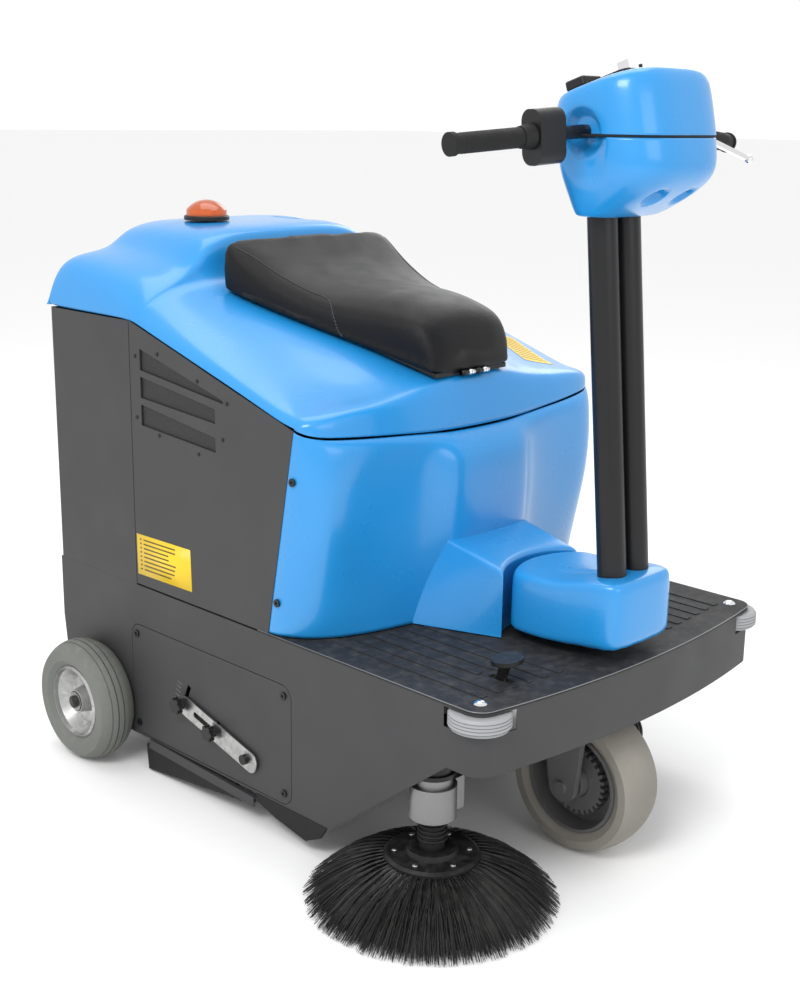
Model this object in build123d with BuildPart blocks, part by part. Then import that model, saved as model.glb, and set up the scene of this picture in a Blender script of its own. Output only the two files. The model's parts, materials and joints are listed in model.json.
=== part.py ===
from build123d import *
import math
import os

# Ride-on sweeper. Millimetres. +X is the machine's left, +Y its rear, +Z up.
# The origin is on the floor, on the centre plane, midway between the front and rear axles.

# ---------------------------------------------------------------- driving dimensions
HALF_WIDTH = 408.0          # centre plane to the outside of the side plates
WHEELBASE = 984.0
FRONT_OVERHANG = 128.0      # steering axis to the front edge of the platform
REAR_OVERHANG = 149.0       # rear axle to the rear face of the body
DECK_TOP = 409.0            # standing height of the platform
BODY_HEIGHT = 538.0         # platform to the top edge of the rear cover
REAR_COVER_LENGTH = 281.0
SIDE_PANEL_LENGTH = 488.0
NOSE_LENGTH = 76.0          # side panel's front top corner to the front of the body
PANEL_EDGE_DROP = 144.0     # how far the side panel's top edge falls towards the front
PANEL_FRONT_RAKE = 74.0
NOSE_DIP = 28.0             # the seam falls this much more across the nose
HOOD_RISE = 100.0           # height of the hood's side wall at the rear
HOOD_BOX_RISE = 172.0       # raised rear box above the rear cover's top edge

SHEET = 3.0                 # sheet steel
DECK_SHEET = 4.0
MOULDING = 5.0              # wall of the rotationally moulded covers
SEAM_GAP = 3.0
RUN_FIT = 0.05              # radial clearance of shafts and pins that turn

CHASSIS_FLOOR = 72.0        # lowest edge of the side plates
SKIRT_BOTTOM = 294.0
SKIRT_NOSE = 34.0           # how far the front edge bows forward
CORNER_RADIUS = 36.0
ROLLER_INSET = 36.0         # side of the platform to the bumper roller's axis
ROLLER_RADIUS = 54.0
ROLLER_THICK = 30.0
ROLLER_BORE = 6.0

REAR_TYRE_RADIUS = 130.0
REAR_TYRE_WIDTH = 80.0
REAR_WHEEL_GAP = 7.0        # side plate to the inner face of the tyre
REAR_TYRE_WALL = 53.0       # tread to the rim
REAR_STUB_RADIUS = 12.0
FRONT_TYRE_RADIUS = 140.0
FRONT_TYRE_WIDTH = 100.0
FRONT_TYRE_WALL = 40.0
FRONT_AXLE_RADIUS = 12.0
FORK_GAP = 9.0              # tyre side to the fork leg
FORK_LEG = 12.0
STEER_SHAFT_RADIUS = 25.0

BROOM_RADIUS = 112.0
BROOM_CORE_RADIUS = 32.0
BROOM_FLOOR_GAP = 6.0
BROOM_END_ROOM = 58.0       # side plate to the end of the broom
BROOM_STUB_RADIUS = 8.0
BROOM_ARM_LENGTH = 142.0    # pivot to broom axis, measured along the machine
BROOM_PIVOT_HEIGHT = 138.0
BROOM_PIVOT_RADIUS = 10.0
LEVER_ANGLE = 15.0
LEVER_LENGTH = 225.0
LEVER_WIDTH = 42.0
KNOB_DISTANCES = (101.0, 206.0)
KNOB_RADIUS = 15.0
STUD_RADIUS = 4.0

BRUSH_X = -354.0
BRUSH_SETBACK = 61.0        # brush axis behind the steering axis
BRUSH_RADIUS = 230.0
BRUSH_DISC_RADIUS = 86.0
BRUSH_DISC_HEIGHT = 95.0
BRUSH_SHAFT_RADIUS = 23.0
BRUSH_ARM_LENGTH = 261.0
BRUSH_PIVOT_HEIGHT = 300.0
BRUSH_PIVOT_RADIUS = 8.0

TUBE_RADIUS = 26.0
TUBE_WALL = 2.5
TUBE_SPREAD = 33.0          # centre plane to each column tube
COLUMN_LEAN = 5.4           # degrees towards the rider
COLUMN_FOOT_SETBACK = -62.0 # tube axis ahead of the steering axis at the cover's top
COVER_BOTTOM = 424.0
COVER_TOP = 560.0
COVER_SHOULDER = 538.0
COVER_RADIUS = 150.0
NEST_RADIUS = 165.0         # hollow end of the tunnel round the column cover
HEAD_BOTTOM = 1180.0
HEAD_SEAM = 1315.0
HEAD_TOP = 1425.0
HEAD_HALF_WIDTH = 128.0
BAR_HEIGHT = 1321.0
BAR_RADIUS = 11.0
BAR_SWEEP = 9.6             # degrees each half of the bar turns back
BAR_DROOP = 4.3             # degrees each half falls
GRIP_RADIUS = 16.0
GRIP_LENGTH = 116.0

SEAT_LENGTH = 470.0
SEAT_BACK_HALF = 222.0
SEAT_FRONT_HALF = 100.0
BEACON_RADIUS = 43.0
HOPPER_HALF_WIDTH = 325.0
HOPPER_BOTTOM = 104.0

# ---------------------------------------------------------------- derived places
REAR_AXLE_Y = WHEELBASE / 2
STEER_Y = -WHEELBASE / 2
REAR_RIM_RADIUS = REAR_TYRE_RADIUS - REAR_TYRE_WALL
FRONT_RIM_RADIUS = FRONT_TYRE_RADIUS - FRONT_TYRE_WALL
REAR_Y = REAR_AXLE_Y + REAR_OVERHANG
FRONT_Y = STEER_Y - FRONT_OVERHANG
SEAM_Y = REAR_Y - REAR_COVER_LENGTH
PANEL_FRONT_Y = SEAM_Y - SIDE_PANEL_LENGTH
NOSE_Y = PANEL_FRONT_Y - NOSE_LENGTH
PANEL_TOP = DECK_TOP + BODY_HEIGHT
PANEL_FRONT_TOP = PANEL_TOP - PANEL_EDGE_DROP
DECK_BOTTOM = DECK_TOP - DECK_SHEET
CHASSIS_TOP = DECK_BOTTOM - SHEET
ROLLER_X = HALF_WIDTH - ROLLER_INSET
ROLLER_Y = FRONT_Y + SKIRT_NOSE + ROLLER_INSET
BROOM_Y = REAR_AXLE_Y - 342.0
BROOM_Z = BROOM_RADIUS + BROOM_FLOOR_GAP
BROOM_PIVOT_Y = BROOM_Y - BROOM_ARM_LENGTH
BROOM_HALF_LENGTH = HALF_WIDTH - BROOM_END_ROOM
BRUSH_Y = STEER_Y + BRUSH_SETBACK
BRUSH_PIVOT_Y = BRUSH_Y + BRUSH_ARM_LENGTH
LEAN = math.tan(math.radians(COLUMN_LEAN))


def rot(point, degrees):
    """A (y, z) step turned by an angle from the +Y axis towards +Z."""
    y, z = point
    c, s = math.cos(math.radians(degrees)), math.sin(math.radians(degrees))
    return (y * c - z * s, y * s + z * c)


def column_y(z):
    """Where the leaning tubes' axes are at a height."""
    return STEER_Y + COLUMN_FOOT_SETBACK + (z - COVER_TOP) * LEAN


def panel_edge(y):
    """Height of the line along which the hood meets the body."""
    if y >= SEAM_Y:
        return PANEL_TOP
    slope = PANEL_EDGE_DROP / SIDE_PANEL_LENGTH
    if y >= PANEL_FRONT_Y:
        return PANEL_TOP - (SEAM_Y - y) * slope
    return PANEL_FRONT_TOP - (PANEL_FRONT_Y - y) * NOSE_DIP / NOSE_LENGTH


def save(builder, label):
    """Label a finished piece and write it to its own file."""
    builder.part.label = label
    export_step(builder.part, f"parts/{label}.step")


def platform_outline(inset=0.0):
    """Plan of the platform: straight sides, rounded front corners and a bowed front edge."""
    half, radius = HALF_WIDTH - inset, CORNER_RADIUS - inset
    tangent = math.radians(-79.4)
    corner = (ROLLER_X + radius * math.cos(tangent), ROLLER_Y + radius * math.sin(tangent))
    mid = (ROLLER_X + radius * math.cos(tangent / 2), ROLLER_Y + radius * math.sin(tangent / 2))
    with BuildLine() as edge:
        Line((0, REAR_Y - inset), (half, REAR_Y - inset))
        Line((half, REAR_Y - inset), (half, ROLLER_Y))
        ThreePointArc((half, ROLLER_Y), mid, corner)
        ThreePointArc(corner, (0, FRONT_Y + inset), (-corner[0], corner[1]))
        ThreePointArc((-corner[0], corner[1]), (-mid[0], mid[1]), (-half, ROLLER_Y))
        Line((-half, ROLLER_Y), (-half, REAR_Y - inset))
        Line((-half, REAR_Y - inset), (0, REAR_Y - inset))
    return edge.line


def nose_outline(bulge, half, y_side, y_front, y_back):
    """Plan of the body's nose: straight sides, rounded corners, bowed front."""
    corner_x, corner_y = half - 34.0, y_side - 44.0
    with BuildLine() as edge:
        Line((0, y_back), (half, y_back))
        Line((half, y_back), (half, y_side))
        ThreePointArc((half, y_side), (half - 9.0, y_side - 26.0), (corner_x, corner_y))
        ThreePointArc((corner_x, corner_y), (0, y_front - bulge), (-corner_x, corner_y))
        ThreePointArc((-corner_x, corner_y), (9.0 - half, y_side - 26.0), (-half, y_side))
        Line((-half, y_side), (-half, y_back))
        Line((-half, y_back), (0, y_back))
    return edge.line


# ---------------------------------------------------------------- chassis and platform
PEDAL_SPOTS = {"right_pedal": (-262.0, STEER_Y - 20.0), "left_pedal": (292.0, STEER_Y + 264.0)}
PEDAL_SLOT = (16.0, 50.0)
PEDAL_SLOT_SHIFT = 12.0
SIDE_PROFILE = [
    (REAR_Y, DECK_TOP),
    (REAR_Y, 273.0),
    (REAR_Y - 14.0, 161.0),
    (REAR_Y - 45.0, CHASSIS_FLOOR),
    (PANEL_FRONT_Y - 99.0, CHASSIS_FLOOR),
    (ROLLER_Y + 40.0, SKIRT_BOTTOM),
    (FRONT_Y - 10.0, SKIRT_BOTTOM),
    (FRONT_Y - 10.0, DECK_TOP),
]
COVER_PLATE_FRONT = BROOM_PIVOT_Y - 125.0
COVER_PLATE_REAR = BROOM_Y + 234.0
COVER_PLATE_BOTTOM = CHASSIS_FLOOR + 6.0
COVER_PLATE_TOP = 318.0
COVER_PLATE_MID_Y = (COVER_PLATE_FRONT + COVER_PLATE_REAR) / 2
COVER_PLATE_MID_Z = (COVER_PLATE_BOTTOM + COVER_PLATE_TOP) / 2
COVER_PLATE_LENGTH = COVER_PLATE_REAR - COVER_PLATE_FRONT
COVER_PLATE_HEIGHT = COVER_PLATE_TOP - COVER_PLATE_BOTTOM
PLATE_GAP = 1.5
PLATE_FLANGE = 12.0
THROAT_Z = 235.0            # the way from the broom into the hopper
THROAT_HEIGHT = 270.0
RAIL_RISE = 120.0           # hopper's floor to the rail
RAIL_GAP = 0.3              # the runners slide this far above the rails
RUNNER_SHEET = 3.0
RAIL_LAP = 14.0             # the runner passes the rail's middle by this much
INNER = HALF_WIDTH - SHEET
RAIL_WIDTH = INNER - HOPPER_HALF_WIDTH   # chassis rail that carries the hopper
HOPPER_FRONT = BROOM_Y + BROOM_RADIUS + 73.0
HOPPER_TOP = CHASSIS_TOP - 12.0
LUG_THICK = 6.0
BRUSH_LUGS = (BRUSH_X + 12.0, BRUSH_X + 92.0)

with BuildPart() as chassis_shell:
    with BuildSketch(Plane.XY.offset(CHASSIS_FLOOR - 2)) as plan:
        make_face(platform_outline())
    extrude(amount=DECK_BOTTOM - CHASSIS_FLOOR + 2)
    with BuildSketch(Plane.YZ.offset(-HALF_WIDTH - 5)) as profile:
        with BuildLine():
            Polyline(*SIDE_PROFILE, close=True)
        make_face()
    extrude(amount=2 * HALF_WIDTH + 10, mode=Mode.INTERSECT)
    with BuildSketch(Plane.XY.offset(CHASSIS_FLOOR - 4)) as hollow:
        make_face(platform_outline(SHEET))
    extrude(amount=CHASSIS_TOP - CHASSIS_FLOOR + 4, mode=Mode.SUBTRACT)
    # bulkheads of the broom chamber
    for y in (BROOM_PIVOT_Y - 60.0, HOPPER_FRONT - 9.0):
        with BuildSketch(Plane.XZ.offset(-y)):
            with Locations((0, (CHASSIS_FLOOR + CHASSIS_TOP) / 2)):
                Rectangle(2 * INNER, CHASSIS_TOP - CHASSIS_FLOOR)
        extrude(amount=SHEET)
    with BuildSketch(Plane.XZ.offset(-(HOPPER_FRONT + 10.0))):
        with Locations((0, THROAT_Z)):
            Rectangle(2 * HOPPER_HALF_WIDTH - 40, THROAT_HEIGHT)
    extrude(amount=30, mode=Mode.SUBTRACT)
    # the way out for the hopper at the rear
    with BuildSketch(Plane.XZ.offset(-(REAR_Y + 20))):
        with Locations((0, (CHASSIS_FLOOR - 20 + HOPPER_TOP + 6) / 2)):
            Rectangle(2 * HOPPER_HALF_WIDTH + 12, HOPPER_TOP + 6 - CHASSIS_FLOOR + 20)
    extrude(amount=60, mode=Mode.SUBTRACT)
    for side in (-1, 1):
        # hopper rails
        rail = (side * (INNER - RAIL_WIDTH / 2), (HOPPER_FRONT + REAR_Y) / 2, HOPPER_BOTTOM + RAIL_RISE)
        with Locations(rail):
            Box(RAIL_WIDTH, REAR_Y - HOPPER_FRONT - 60, SHEET)
        # flange behind the broom's cover plate, then the opening
        with Locations((side * (INNER - SHEET / 2), COVER_PLATE_MID_Y, COVER_PLATE_MID_Z)):
            Box(SHEET, COVER_PLATE_LENGTH + 24, COVER_PLATE_HEIGHT)
        with BuildSketch(Plane.YZ.offset(side * (INNER + SHEET / 2) - SHEET / 2)):
            with Locations((COVER_PLATE_MID_Y, COVER_PLATE_MID_Z)):
                RectangleRounded(COVER_PLATE_LENGTH + 2 * PLATE_GAP, COVER_PLATE_HEIGHT + 2 * PLATE_GAP, 28)
        extrude(amount=SHEET, mode=Mode.SUBTRACT)
        with BuildSketch(Plane.YZ.offset(side * (INNER - SHEET / 2) - SHEET)):
            with Locations((COVER_PLATE_MID_Y, COVER_PLATE_MID_Z)):
                RectangleRounded(
                    COVER_PLATE_LENGTH - 2 * PLATE_FLANGE - 30, COVER_PLATE_HEIGHT - 2 * PLATE_FLANGE - 30, 28)
        extrude(amount=2 * SHEET, mode=Mode.SUBTRACT)
        # rear stub axle
        with BuildSketch(Plane.YZ.offset(side * INNER - 10)):
            with Locations((REAR_AXLE_Y, REAR_TYRE_RADIUS)):
                Circle(REAR_STUB_RADIUS)
        extrude(amount=20, mode=Mode.SUBTRACT)
        # notch for the bumper roller
        with BuildSketch(Plane.XY.offset(CHASSIS_TOP - ROLLER_THICK - 6)):
            with Locations((side * ROLLER_X, ROLLER_Y)):
                Circle(ROLLER_RADIUS + 6)
        extrude(amount=ROLLER_THICK + 6, mode=Mode.SUBTRACT)
        with Locations((side * ROLLER_X, ROLLER_Y, CHASSIS_TOP + SHEET / 2)):
            Hole(ROLLER_BORE, depth=SHEET)
    # steering opening and pedal slots
    with BuildSketch(Plane.XY.offset(CHASSIS_TOP - 1)):
        with Locations((0, STEER_Y)):
            Circle(STEER_SHAFT_RADIUS + 15)
        for x, y in PEDAL_SPOTS.values():
            with Locations((x, y + PEDAL_SLOT_SHIFT)):
                Rectangle(*PEDAL_SLOT)
    extrude(amount=SHEET + 2, mode=Mode.SUBTRACT)
    # hanging lugs for the side brush's arm
    for x in BRUSH_LUGS:
        with BuildSketch(Plane.YZ.offset(x - LUG_THICK / 2)):
            with BuildLine():
                Polyline(
                    (BRUSH_PIVOT_Y - 45, CHASSIS_TOP), (BRUSH_PIVOT_Y - 16, BRUSH_PIVOT_HEIGHT - 16),
                    (BRUSH_PIVOT_Y + 16, BRUSH_PIVOT_HEIGHT - 16), (BRUSH_PIVOT_Y + 45, CHASSIS_TOP), close=True)
            make_face()
            with Locations((BRUSH_PIVOT_Y, BRUSH_PIVOT_HEIGHT)):
                Circle(BRUSH_PIVOT_RADIUS + RUN_FIT, mode=Mode.SUBTRACT)
        extrude(amount=LUG_THICK)

DECK_REAR_Y = PANEL_FRONT_Y + PANEL_FRONT_RAKE + 30.0
RIB_PITCH = 36.0
RIB_HEIGHT = 1.6

with BuildPart() as platform_deck:
    with BuildSketch(Plane.XY.offset(DECK_BOTTOM)):
        make_face(platform_outline())
        with Locations((0, (REAR_Y + DECK_REAR_Y) / 2 + 10)):
            Rectangle(2 * HALF_WIDTH + 20, REAR_Y - DECK_REAR_Y + 20, mode=Mode.SUBTRACT)
        with Locations((0, STEER_Y)):
            Circle(STEER_SHAFT_RADIUS + 15, mode=Mode.SUBTRACT)
        for x, y in PEDAL_SPOTS.values():
            with Locations((x, y + PEDAL_SLOT_SHIFT)):
                Rectangle(*PEDAL_SLOT, mode=Mode.SUBTRACT)
        with Locations((ROLLER_X, ROLLER_Y), (-ROLLER_X, ROLLER_Y)):
            Circle(ROLLER_BORE, mode=Mode.SUBTRACT)
    extrude(amount=DECK_SHEET)
    rib_front = FRONT_Y + SKIRT_NOSE + 34.0
    rib_rear = NOSE_Y - 20.0
    with BuildSketch(Plane.XY.offset(DECK_TOP)):
        for side in (-1, 1):
            for k in range(6):
                rib_x = side * (165.0 + k * RIB_PITCH)
                trim = 16.0 * k / 5
                with Locations((rib_x, (rib_front + trim + rib_rear + 8 * k) / 2)):
                    Rectangle(14, rib_rear + 8 * k - rib_front - trim)
        for x, y in PEDAL_SPOTS.values():
            with Locations((x, y + PEDAL_SLOT_SHIFT)):
                Rectangle(PEDAL_SLOT[0] + 30, PEDAL_SLOT[1] + 30, mode=Mode.SUBTRACT)
    extrude(amount=RIB_HEIGHT)

with BuildPart() as steering_bearing:
    with BuildSketch(Plane.XY.offset(CHASSIS_TOP - 12)):
        with Locations((0, STEER_Y)):
            Circle(85)
            Circle(STEER_SHAFT_RADIUS + RUN_FIT, mode=Mode.SUBTRACT)
            with PolarLocations(68, 6):
                Circle(5, mode=Mode.SUBTRACT)
    extrude(amount=12)
    with BuildSketch(Plane.XY.offset(CHASSIS_TOP - 50)):
        with Locations((0, STEER_Y)):
            Circle(48)
            Circle(STEER_SHAFT_RADIUS + RUN_FIT, mode=Mode.SUBTRACT)
    extrude(amount=38)

with BuildPart() as rear_stub_axles:
    for side in (-1, 1):
        with BuildSketch(Plane.YZ.offset(side * (INNER - 20))):
            with Locations((REAR_AXLE_Y, REAR_TYRE_RADIUS)):
                Circle(REAR_STUB_RADIUS)
        extrude(amount=side * (20 + SHEET + REAR_WHEEL_GAP + REAR_TYRE_WIDTH - 6))
        with BuildSketch(Plane.YZ.offset(side * (INNER - 8))):
            with Locations((REAR_AXLE_Y, REAR_TYRE_RADIUS)):
                RectangleRounded(70, 70, 8)
        extrude(amount=side * 8)

# ---------------------------------------------------------------- body panels
VENT_BAND = 62.0
VENT_TOP_Z = PANEL_TOP - 51.0
VENT_REAR_Y = SEAM_Y - 34.0


def vent_shape(index, grow=0.0):
    """Corner points (y, z) of one of the three side openings, grown all round."""
    top = VENT_TOP_Z - index * 55.0
    low = top - 42.0
    front = VENT_REAR_Y - (258.0 if index == 0 else 234.0)
    fall = 66.0 if index == 0 else 30.0
    rear = VENT_REAR_Y + grow
    front -= grow
    if index == 0:
        return [(rear, top + grow), (rear, low - grow), (front, low - 30 - grow), (front, low - 24 + grow)]
    return [(rear, top + grow), (rear, low - grow), (front, low - fall - grow + 14), (front, top - fall + grow)]


def side_panel(side):
    """One folded side panel with its three vent openings."""
    with BuildPart() as panel:
        outer = side * HALF_WIDTH
        with BuildSketch(Plane.YZ.offset(outer)):
            with BuildLine():
                Polyline(
                    (SEAM_Y - 1, DECK_TOP), (SEAM_Y - 1, PANEL_TOP), (PANEL_FRONT_Y, PANEL_FRONT_TOP),
                    (PANEL_FRONT_Y + PANEL_FRONT_RAKE, DECK_TOP), close=True)
            make_face()
            for index in range(3):
                with BuildLine():
                    Polyline(*vent_shape(index), close=True)
                make_face(mode=Mode.SUBTRACT)
        extrude(amount=-side * SHEET)
        # bottom flange that stands on the chassis
        flange_mid = (SEAM_Y + PANEL_FRONT_Y + PANEL_FRONT_RAKE) / 2
        with Locations((side * (INNER - 10), flange_mid, DECK_TOP + SHEET / 2)):
            Box(20, SEAM_Y - PANEL_FRONT_Y - PANEL_FRONT_RAKE - 60, SHEET)
    return panel


with BuildPart() as rear_cover:
    with BuildSketch(Plane.XY.offset(DECK_BOTTOM)):
        with Locations((0, (SEAM_Y + REAR_Y) / 2 + 0.5)):
            Rectangle(2 * HALF_WIDTH, REAR_COVER_LENGTH - 1)
    extrude(amount=PANEL_TOP - DECK_BOTTOM)
    rear_edges = rear_cover.edges().filter_by(Axis.Z).group_by(Axis.Y)[-1]
    fillet(rear_edges, 9)
    with BuildSketch(Plane.XY.offset(DECK_BOTTOM - 1)):
        with Locations((0, (SEAM_Y + REAR_Y) / 2 - SHEET)):
            Rectangle(2 * INNER, REAR_COVER_LENGTH)
    extrude(amount=PANEL_TOP - DECK_BOTTOM + 2, mode=Mode.SUBTRACT)
    # finger recess on the rear face
    with BuildSketch(Plane.XZ.offset(-(REAR_Y + 5))):
        with Locations((0, PANEL_TOP - 70)):
            SlotOverall(150, 34)
    extrude(amount=20, mode=Mode.SUBTRACT)

with BuildPart() as vent_grilles:
    for side in (-1, 1):
        for index in range(3):
            with BuildSketch(Plane.YZ.offset(side * (INNER - 0.2))):
                with BuildLine():
                    Polyline(*vent_shape(index, 7), close=True)
                make_face()
            extrude(amount=-side * 1.5)

NOSE_SIDE_Y = PANEL_FRONT_Y + 4.0
with BuildPart() as front_body:
    half = HALF_WIDTH - 1.0
    back = PANEL_FRONT_Y + PANEL_FRONT_RAKE + 40.0
    for height, shift, bulge in (
        (DECK_TOP + 1, 26.0, 2.0), (DECK_TOP + 100, 18.0, 12.0), (650, 4.0, 24.0), (PANEL_FRONT_TOP + 14, 4.0, 14.0)):
        with BuildSketch(Plane.XY.offset(height)):
            make_face(nose_outline(bulge, half, NOSE_SIDE_Y + shift - 20, NOSE_Y + shift - 8, back))
    loft()
    # tunnel to the steering column
    ramp_back = NOSE_Y + 60.0
    with BuildSketch(Plane.YZ.offset(-112)):
        with BuildLine():
            Polyline(
                (ramp_back, COVER_BOTTOM - 12), (STEER_Y + 96, COVER_BOTTOM - 12),
                (STEER_Y + 96, 534), (NOSE_Y - 16, 570), (ramp_back, 600), close=True)
        make_face()
    extrude(amount=224)
    nest_top = 700.0
    with BuildSketch(Plane.XY.offset(DECK_TOP - 1)):
        with Locations((0, STEER_Y)):
            Circle(NEST_RADIUS)
    extrude(amount=nest_top - DECK_TOP, mode=Mode.SUBTRACT)
    # hollow inside
    for height, shift, bulge in (
        (DECK_TOP - 2, 26.0, 2.0), (DECK_TOP + 100, 18.0, 12.0), (650, 4.0, 24.0), (PANEL_FRONT_TOP + 60, 4.0, 14.0)):
        with BuildSketch(Plane.XY.offset(height)):
            make_face(nose_outline(
                bulge, half - MOULDING, NOSE_SIDE_Y + shift - 20 + 2, NOSE_Y + shift - 8 + MOULDING, back + 30))
    loft(mode=Mode.SUBTRACT)
    with BuildSketch(Plane.YZ.offset(-112 + MOULDING)):
        with BuildLine():
            Polyline(
                (ramp_back, COVER_BOTTOM - 14), (STEER_Y + NEST_RADIUS + MOULDING, COVER_BOTTOM - 14),
                (STEER_Y + NEST_RADIUS + MOULDING, 520), (NOSE_Y - 14, 562), (ramp_back, 562), close=True)
        make_face()
    extrude(amount=224 - 2 * MOULDING, mode=Mode.SUBTRACT)
    # raked rear edge along the side panels, and the seam on top
    with BuildSketch(Plane.YZ.offset(-HALF_WIDTH - 5)):
        with BuildLine():
            Polyline(
                (PANEL_FRONT_Y - 1.5, PANEL_FRONT_TOP + 20), (PANEL_FRONT_Y - 1.5, PANEL_FRONT_TOP),
                (PANEL_FRONT_Y + PANEL_FRONT_RAKE - 1.5, DECK_TOP - 3), (back + 60, DECK_TOP - 3),
                (back + 60, PANEL_FRONT_TOP + 20), close=True)
        make_face()
    extrude(amount=2 * HALF_WIDTH + 10, mode=Mode.SUBTRACT)
    with BuildSketch(Plane.YZ.offset(-HALF_WIDTH - 5)):
        with BuildLine():
            Polyline(
                (back, panel_edge(PANEL_FRONT_Y)), (PANEL_FRONT_Y, panel_edge(PANEL_FRONT_Y)),
                (NOSE_Y - 60, panel_edge(NOSE_Y - 60)), (NOSE_Y - 60, HEAD_BOTTOM), (back, HEAD_BOTTOM), close=True)
        make_face()
    extrude(amount=2 * HALF_WIDTH + 10, mode=Mode.SUBTRACT)

# ---------------------------------------------------------------- hood
HOOD_HALF = HALF_WIDTH - 3.0
BOX_FRONT_Y = SEAM_Y - 24.0
SEAT_BACK_Y = BOX_FRONT_Y - 44.0
SEAT_FRONT_Y = SEAT_BACK_Y - SEAT_LENGTH


def hood_section(y, boxed, drop=0.0):
    """Half of the hood's cross-section at y, from its lower edge up to the centre."""
    edge = panel_edge(y) + SEAM_GAP
    if boxed:
        wall = HOOD_RISE
        middle = PANEL_TOP + HOOD_BOX_RISE
        points = [
            (HOOD_HALF, edge), (HOOD_HALF - 5, edge + wall * 0.62), (HOOD_HALF - 30, edge + wall),
            (284, edge + wall + 12), (236, middle - 16), (180, middle), (0, middle + 3)]
    else:
        share = (BOX_FRONT_Y - y) / (BOX_FRONT_Y - NOSE_Y)
        wall = HOOD_RISE * (1 - share) * 0.62 + 26 * share
        deck = deck_height(y)
        seat_half = SEAT_BACK_HALF + (SEAT_FRONT_HALF - SEAT_BACK_HALF) * share
        points = [
            (HOOD_HALF, edge), (HOOD_HALF - 3, edge + wall * 0.5), (HOOD_HALF - 24, edge + wall * 0.95),
            (340, edge + wall * 1.15), (seat_half + 26, deck - 8), (seat_half, deck), (0, deck)]
    return [(x - (drop if x > 0 else 0), z - drop) for x, z in points]


def deck_height(y):
    """Height of the hood's top under the seat."""
    low_y, mid_y, high_y = NOSE_Y, SEAT_FRONT_Y + 196.0, BOX_FRONT_Y
    low, mid, high = PANEL_FRONT_TOP + 52.0, PANEL_FRONT_TOP + 130.0, PANEL_FRONT_TOP + 212.0
    if y < mid_y:
        return low + (mid - low) * (y - low_y) / (mid_y - low_y)
    return mid + (high - mid) * (y - mid_y) / (high_y - mid_y)


def hood_prism(y_from, y_to, boxed, drop=0.0, base=0.0):
    """A ruled block of the hood between two stations."""
    with BuildPart() as prism:
        for y in (y_from, y_to):
            half = hood_section(y, boxed, drop)
            low = [(half[0][0], half[0][1] - base)]
            points = low + half[1:]
            mirrored = [(-x, z) for x, z in reversed(points[:-1])]
            with BuildSketch(Plane.XZ.offset(-y)):
                with BuildLine():
                    Polyline(*points, *mirrored, close=True)
                make_face()
        loft(ruled=True)
    return prism.part


HOOD_STATIONS = [BOX_FRONT_Y, SEAT_FRONT_Y + 196.0, PANEL_FRONT_Y, NOSE_Y - 40.0]


def hood_solid(drop=0.0, base=0.0):
    """The hood's outer block, or with a drop the hollow inside its wall."""
    blocks = [hood_prism(REAR_Y - drop, SEAM_Y, True, drop, base)]
    blocks.append(hood_prism(SEAM_Y, BOX_FRONT_Y + drop, True, drop, base))
    blocks += [
        hood_prism(a + drop, b + drop, False, drop, base) for a, b in zip(HOOD_STATIONS, HOOD_STATIONS[1:])]
    with BuildPart() as solid:
        for block in blocks:
            add(block)
        with BuildSketch(Plane.XY.offset(500)):
            make_face(nose_outline(
                10.0 - drop, HOOD_HALF - drop, NOSE_SIDE_Y - 16 + drop / 2, NOSE_Y - 4, REAR_Y - drop))
        extrude(amount=900, mode=Mode.INTERSECT)
    return solid.part


with BuildPart() as hood:
    add(hood_solid())
    add(hood_solid(MOULDING, 40.0), mode=Mode.SUBTRACT)

BEACON_X = -105.0
BEACON_Y = REAR_Y - 146.0
BEACON_Z = PANEL_TOP + HOOD_BOX_RISE + 3.2
with BuildPart() as beacon_base:
    with BuildSketch(Plane.XY.offset(BEACON_Z)):
        with Locations((BEACON_X, BEACON_Y)):
            Circle(BEACON_RADIUS + 5)
    extrude(amount=9)
    chamfer(beacon_base.edges().group_by(Axis.Z)[-1], 2)

BEACON_SKIRT = 12.0
BEACON_DOME = 21.0


def dome_profile(radius, low, shoulder, rise):
    """Half section of a domed disc about the Z axis, its crown rising above the shoulder."""
    ball = (radius * radius + rise * rise) / (2 * rise)
    half_angle = math.asin(min(1.0, radius / ball)) / 2
    centre = shoulder + rise - ball
    with BuildLine() as edge:
        Line((0, low), (radius, low))
        Line((radius, low), (radius, shoulder))
        ThreePointArc(
            (radius, shoulder), (ball * math.sin(half_angle), centre + ball * math.cos(half_angle)),
            (0, shoulder + rise))
        Line((0, shoulder + rise), (0, low))
    return edge.line


with BuildPart() as beacon_lens:
    with BuildSketch(Plane((BEACON_X, BEACON_Y, BEACON_Z + 9), x_dir=(1, 0, 0), z_dir=(0, -1, 0))):
        make_face(dome_profile(BEACON_RADIUS, 0, BEACON_SKIRT, BEACON_DOME))
    revolve(axis=Axis((BEACON_X, BEACON_Y, 0), (0, 0, 1)))

# ---------------------------------------------------------------- seat
SEAT_CLEAR = 5.0
PAN_THICK = 8.0
HINGE_Y = SEAT_FRONT_Y - 6.0


def seat_outline(grow=0.0):
    """Plan of the seat: wide at the back, narrow at the front, corners rounded."""
    back, front = SEAT_BACK_HALF + grow, SEAT_FRONT_HALF + grow
    with BuildLine() as edge:
        Polyline(
            (-front, SEAT_FRONT_Y - grow), (front, SEAT_FRONT_Y - grow), (back - 30, SEAT_BACK_Y - 190),
            (back, SEAT_BACK_Y - 60), (back - 20, SEAT_BACK_Y + grow), (20 - back, SEAT_BACK_Y + grow),
            (-back, SEAT_BACK_Y - 60), (30 - back, SEAT_BACK_Y - 190), close=True)
    return edge.line


def seat_base(y):
    """Height of the underside of the seat pan."""
    return deck_height(y) + SEAT_CLEAR


SEAT_MID_Y = SEAT_FRONT_Y + 196.0


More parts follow.
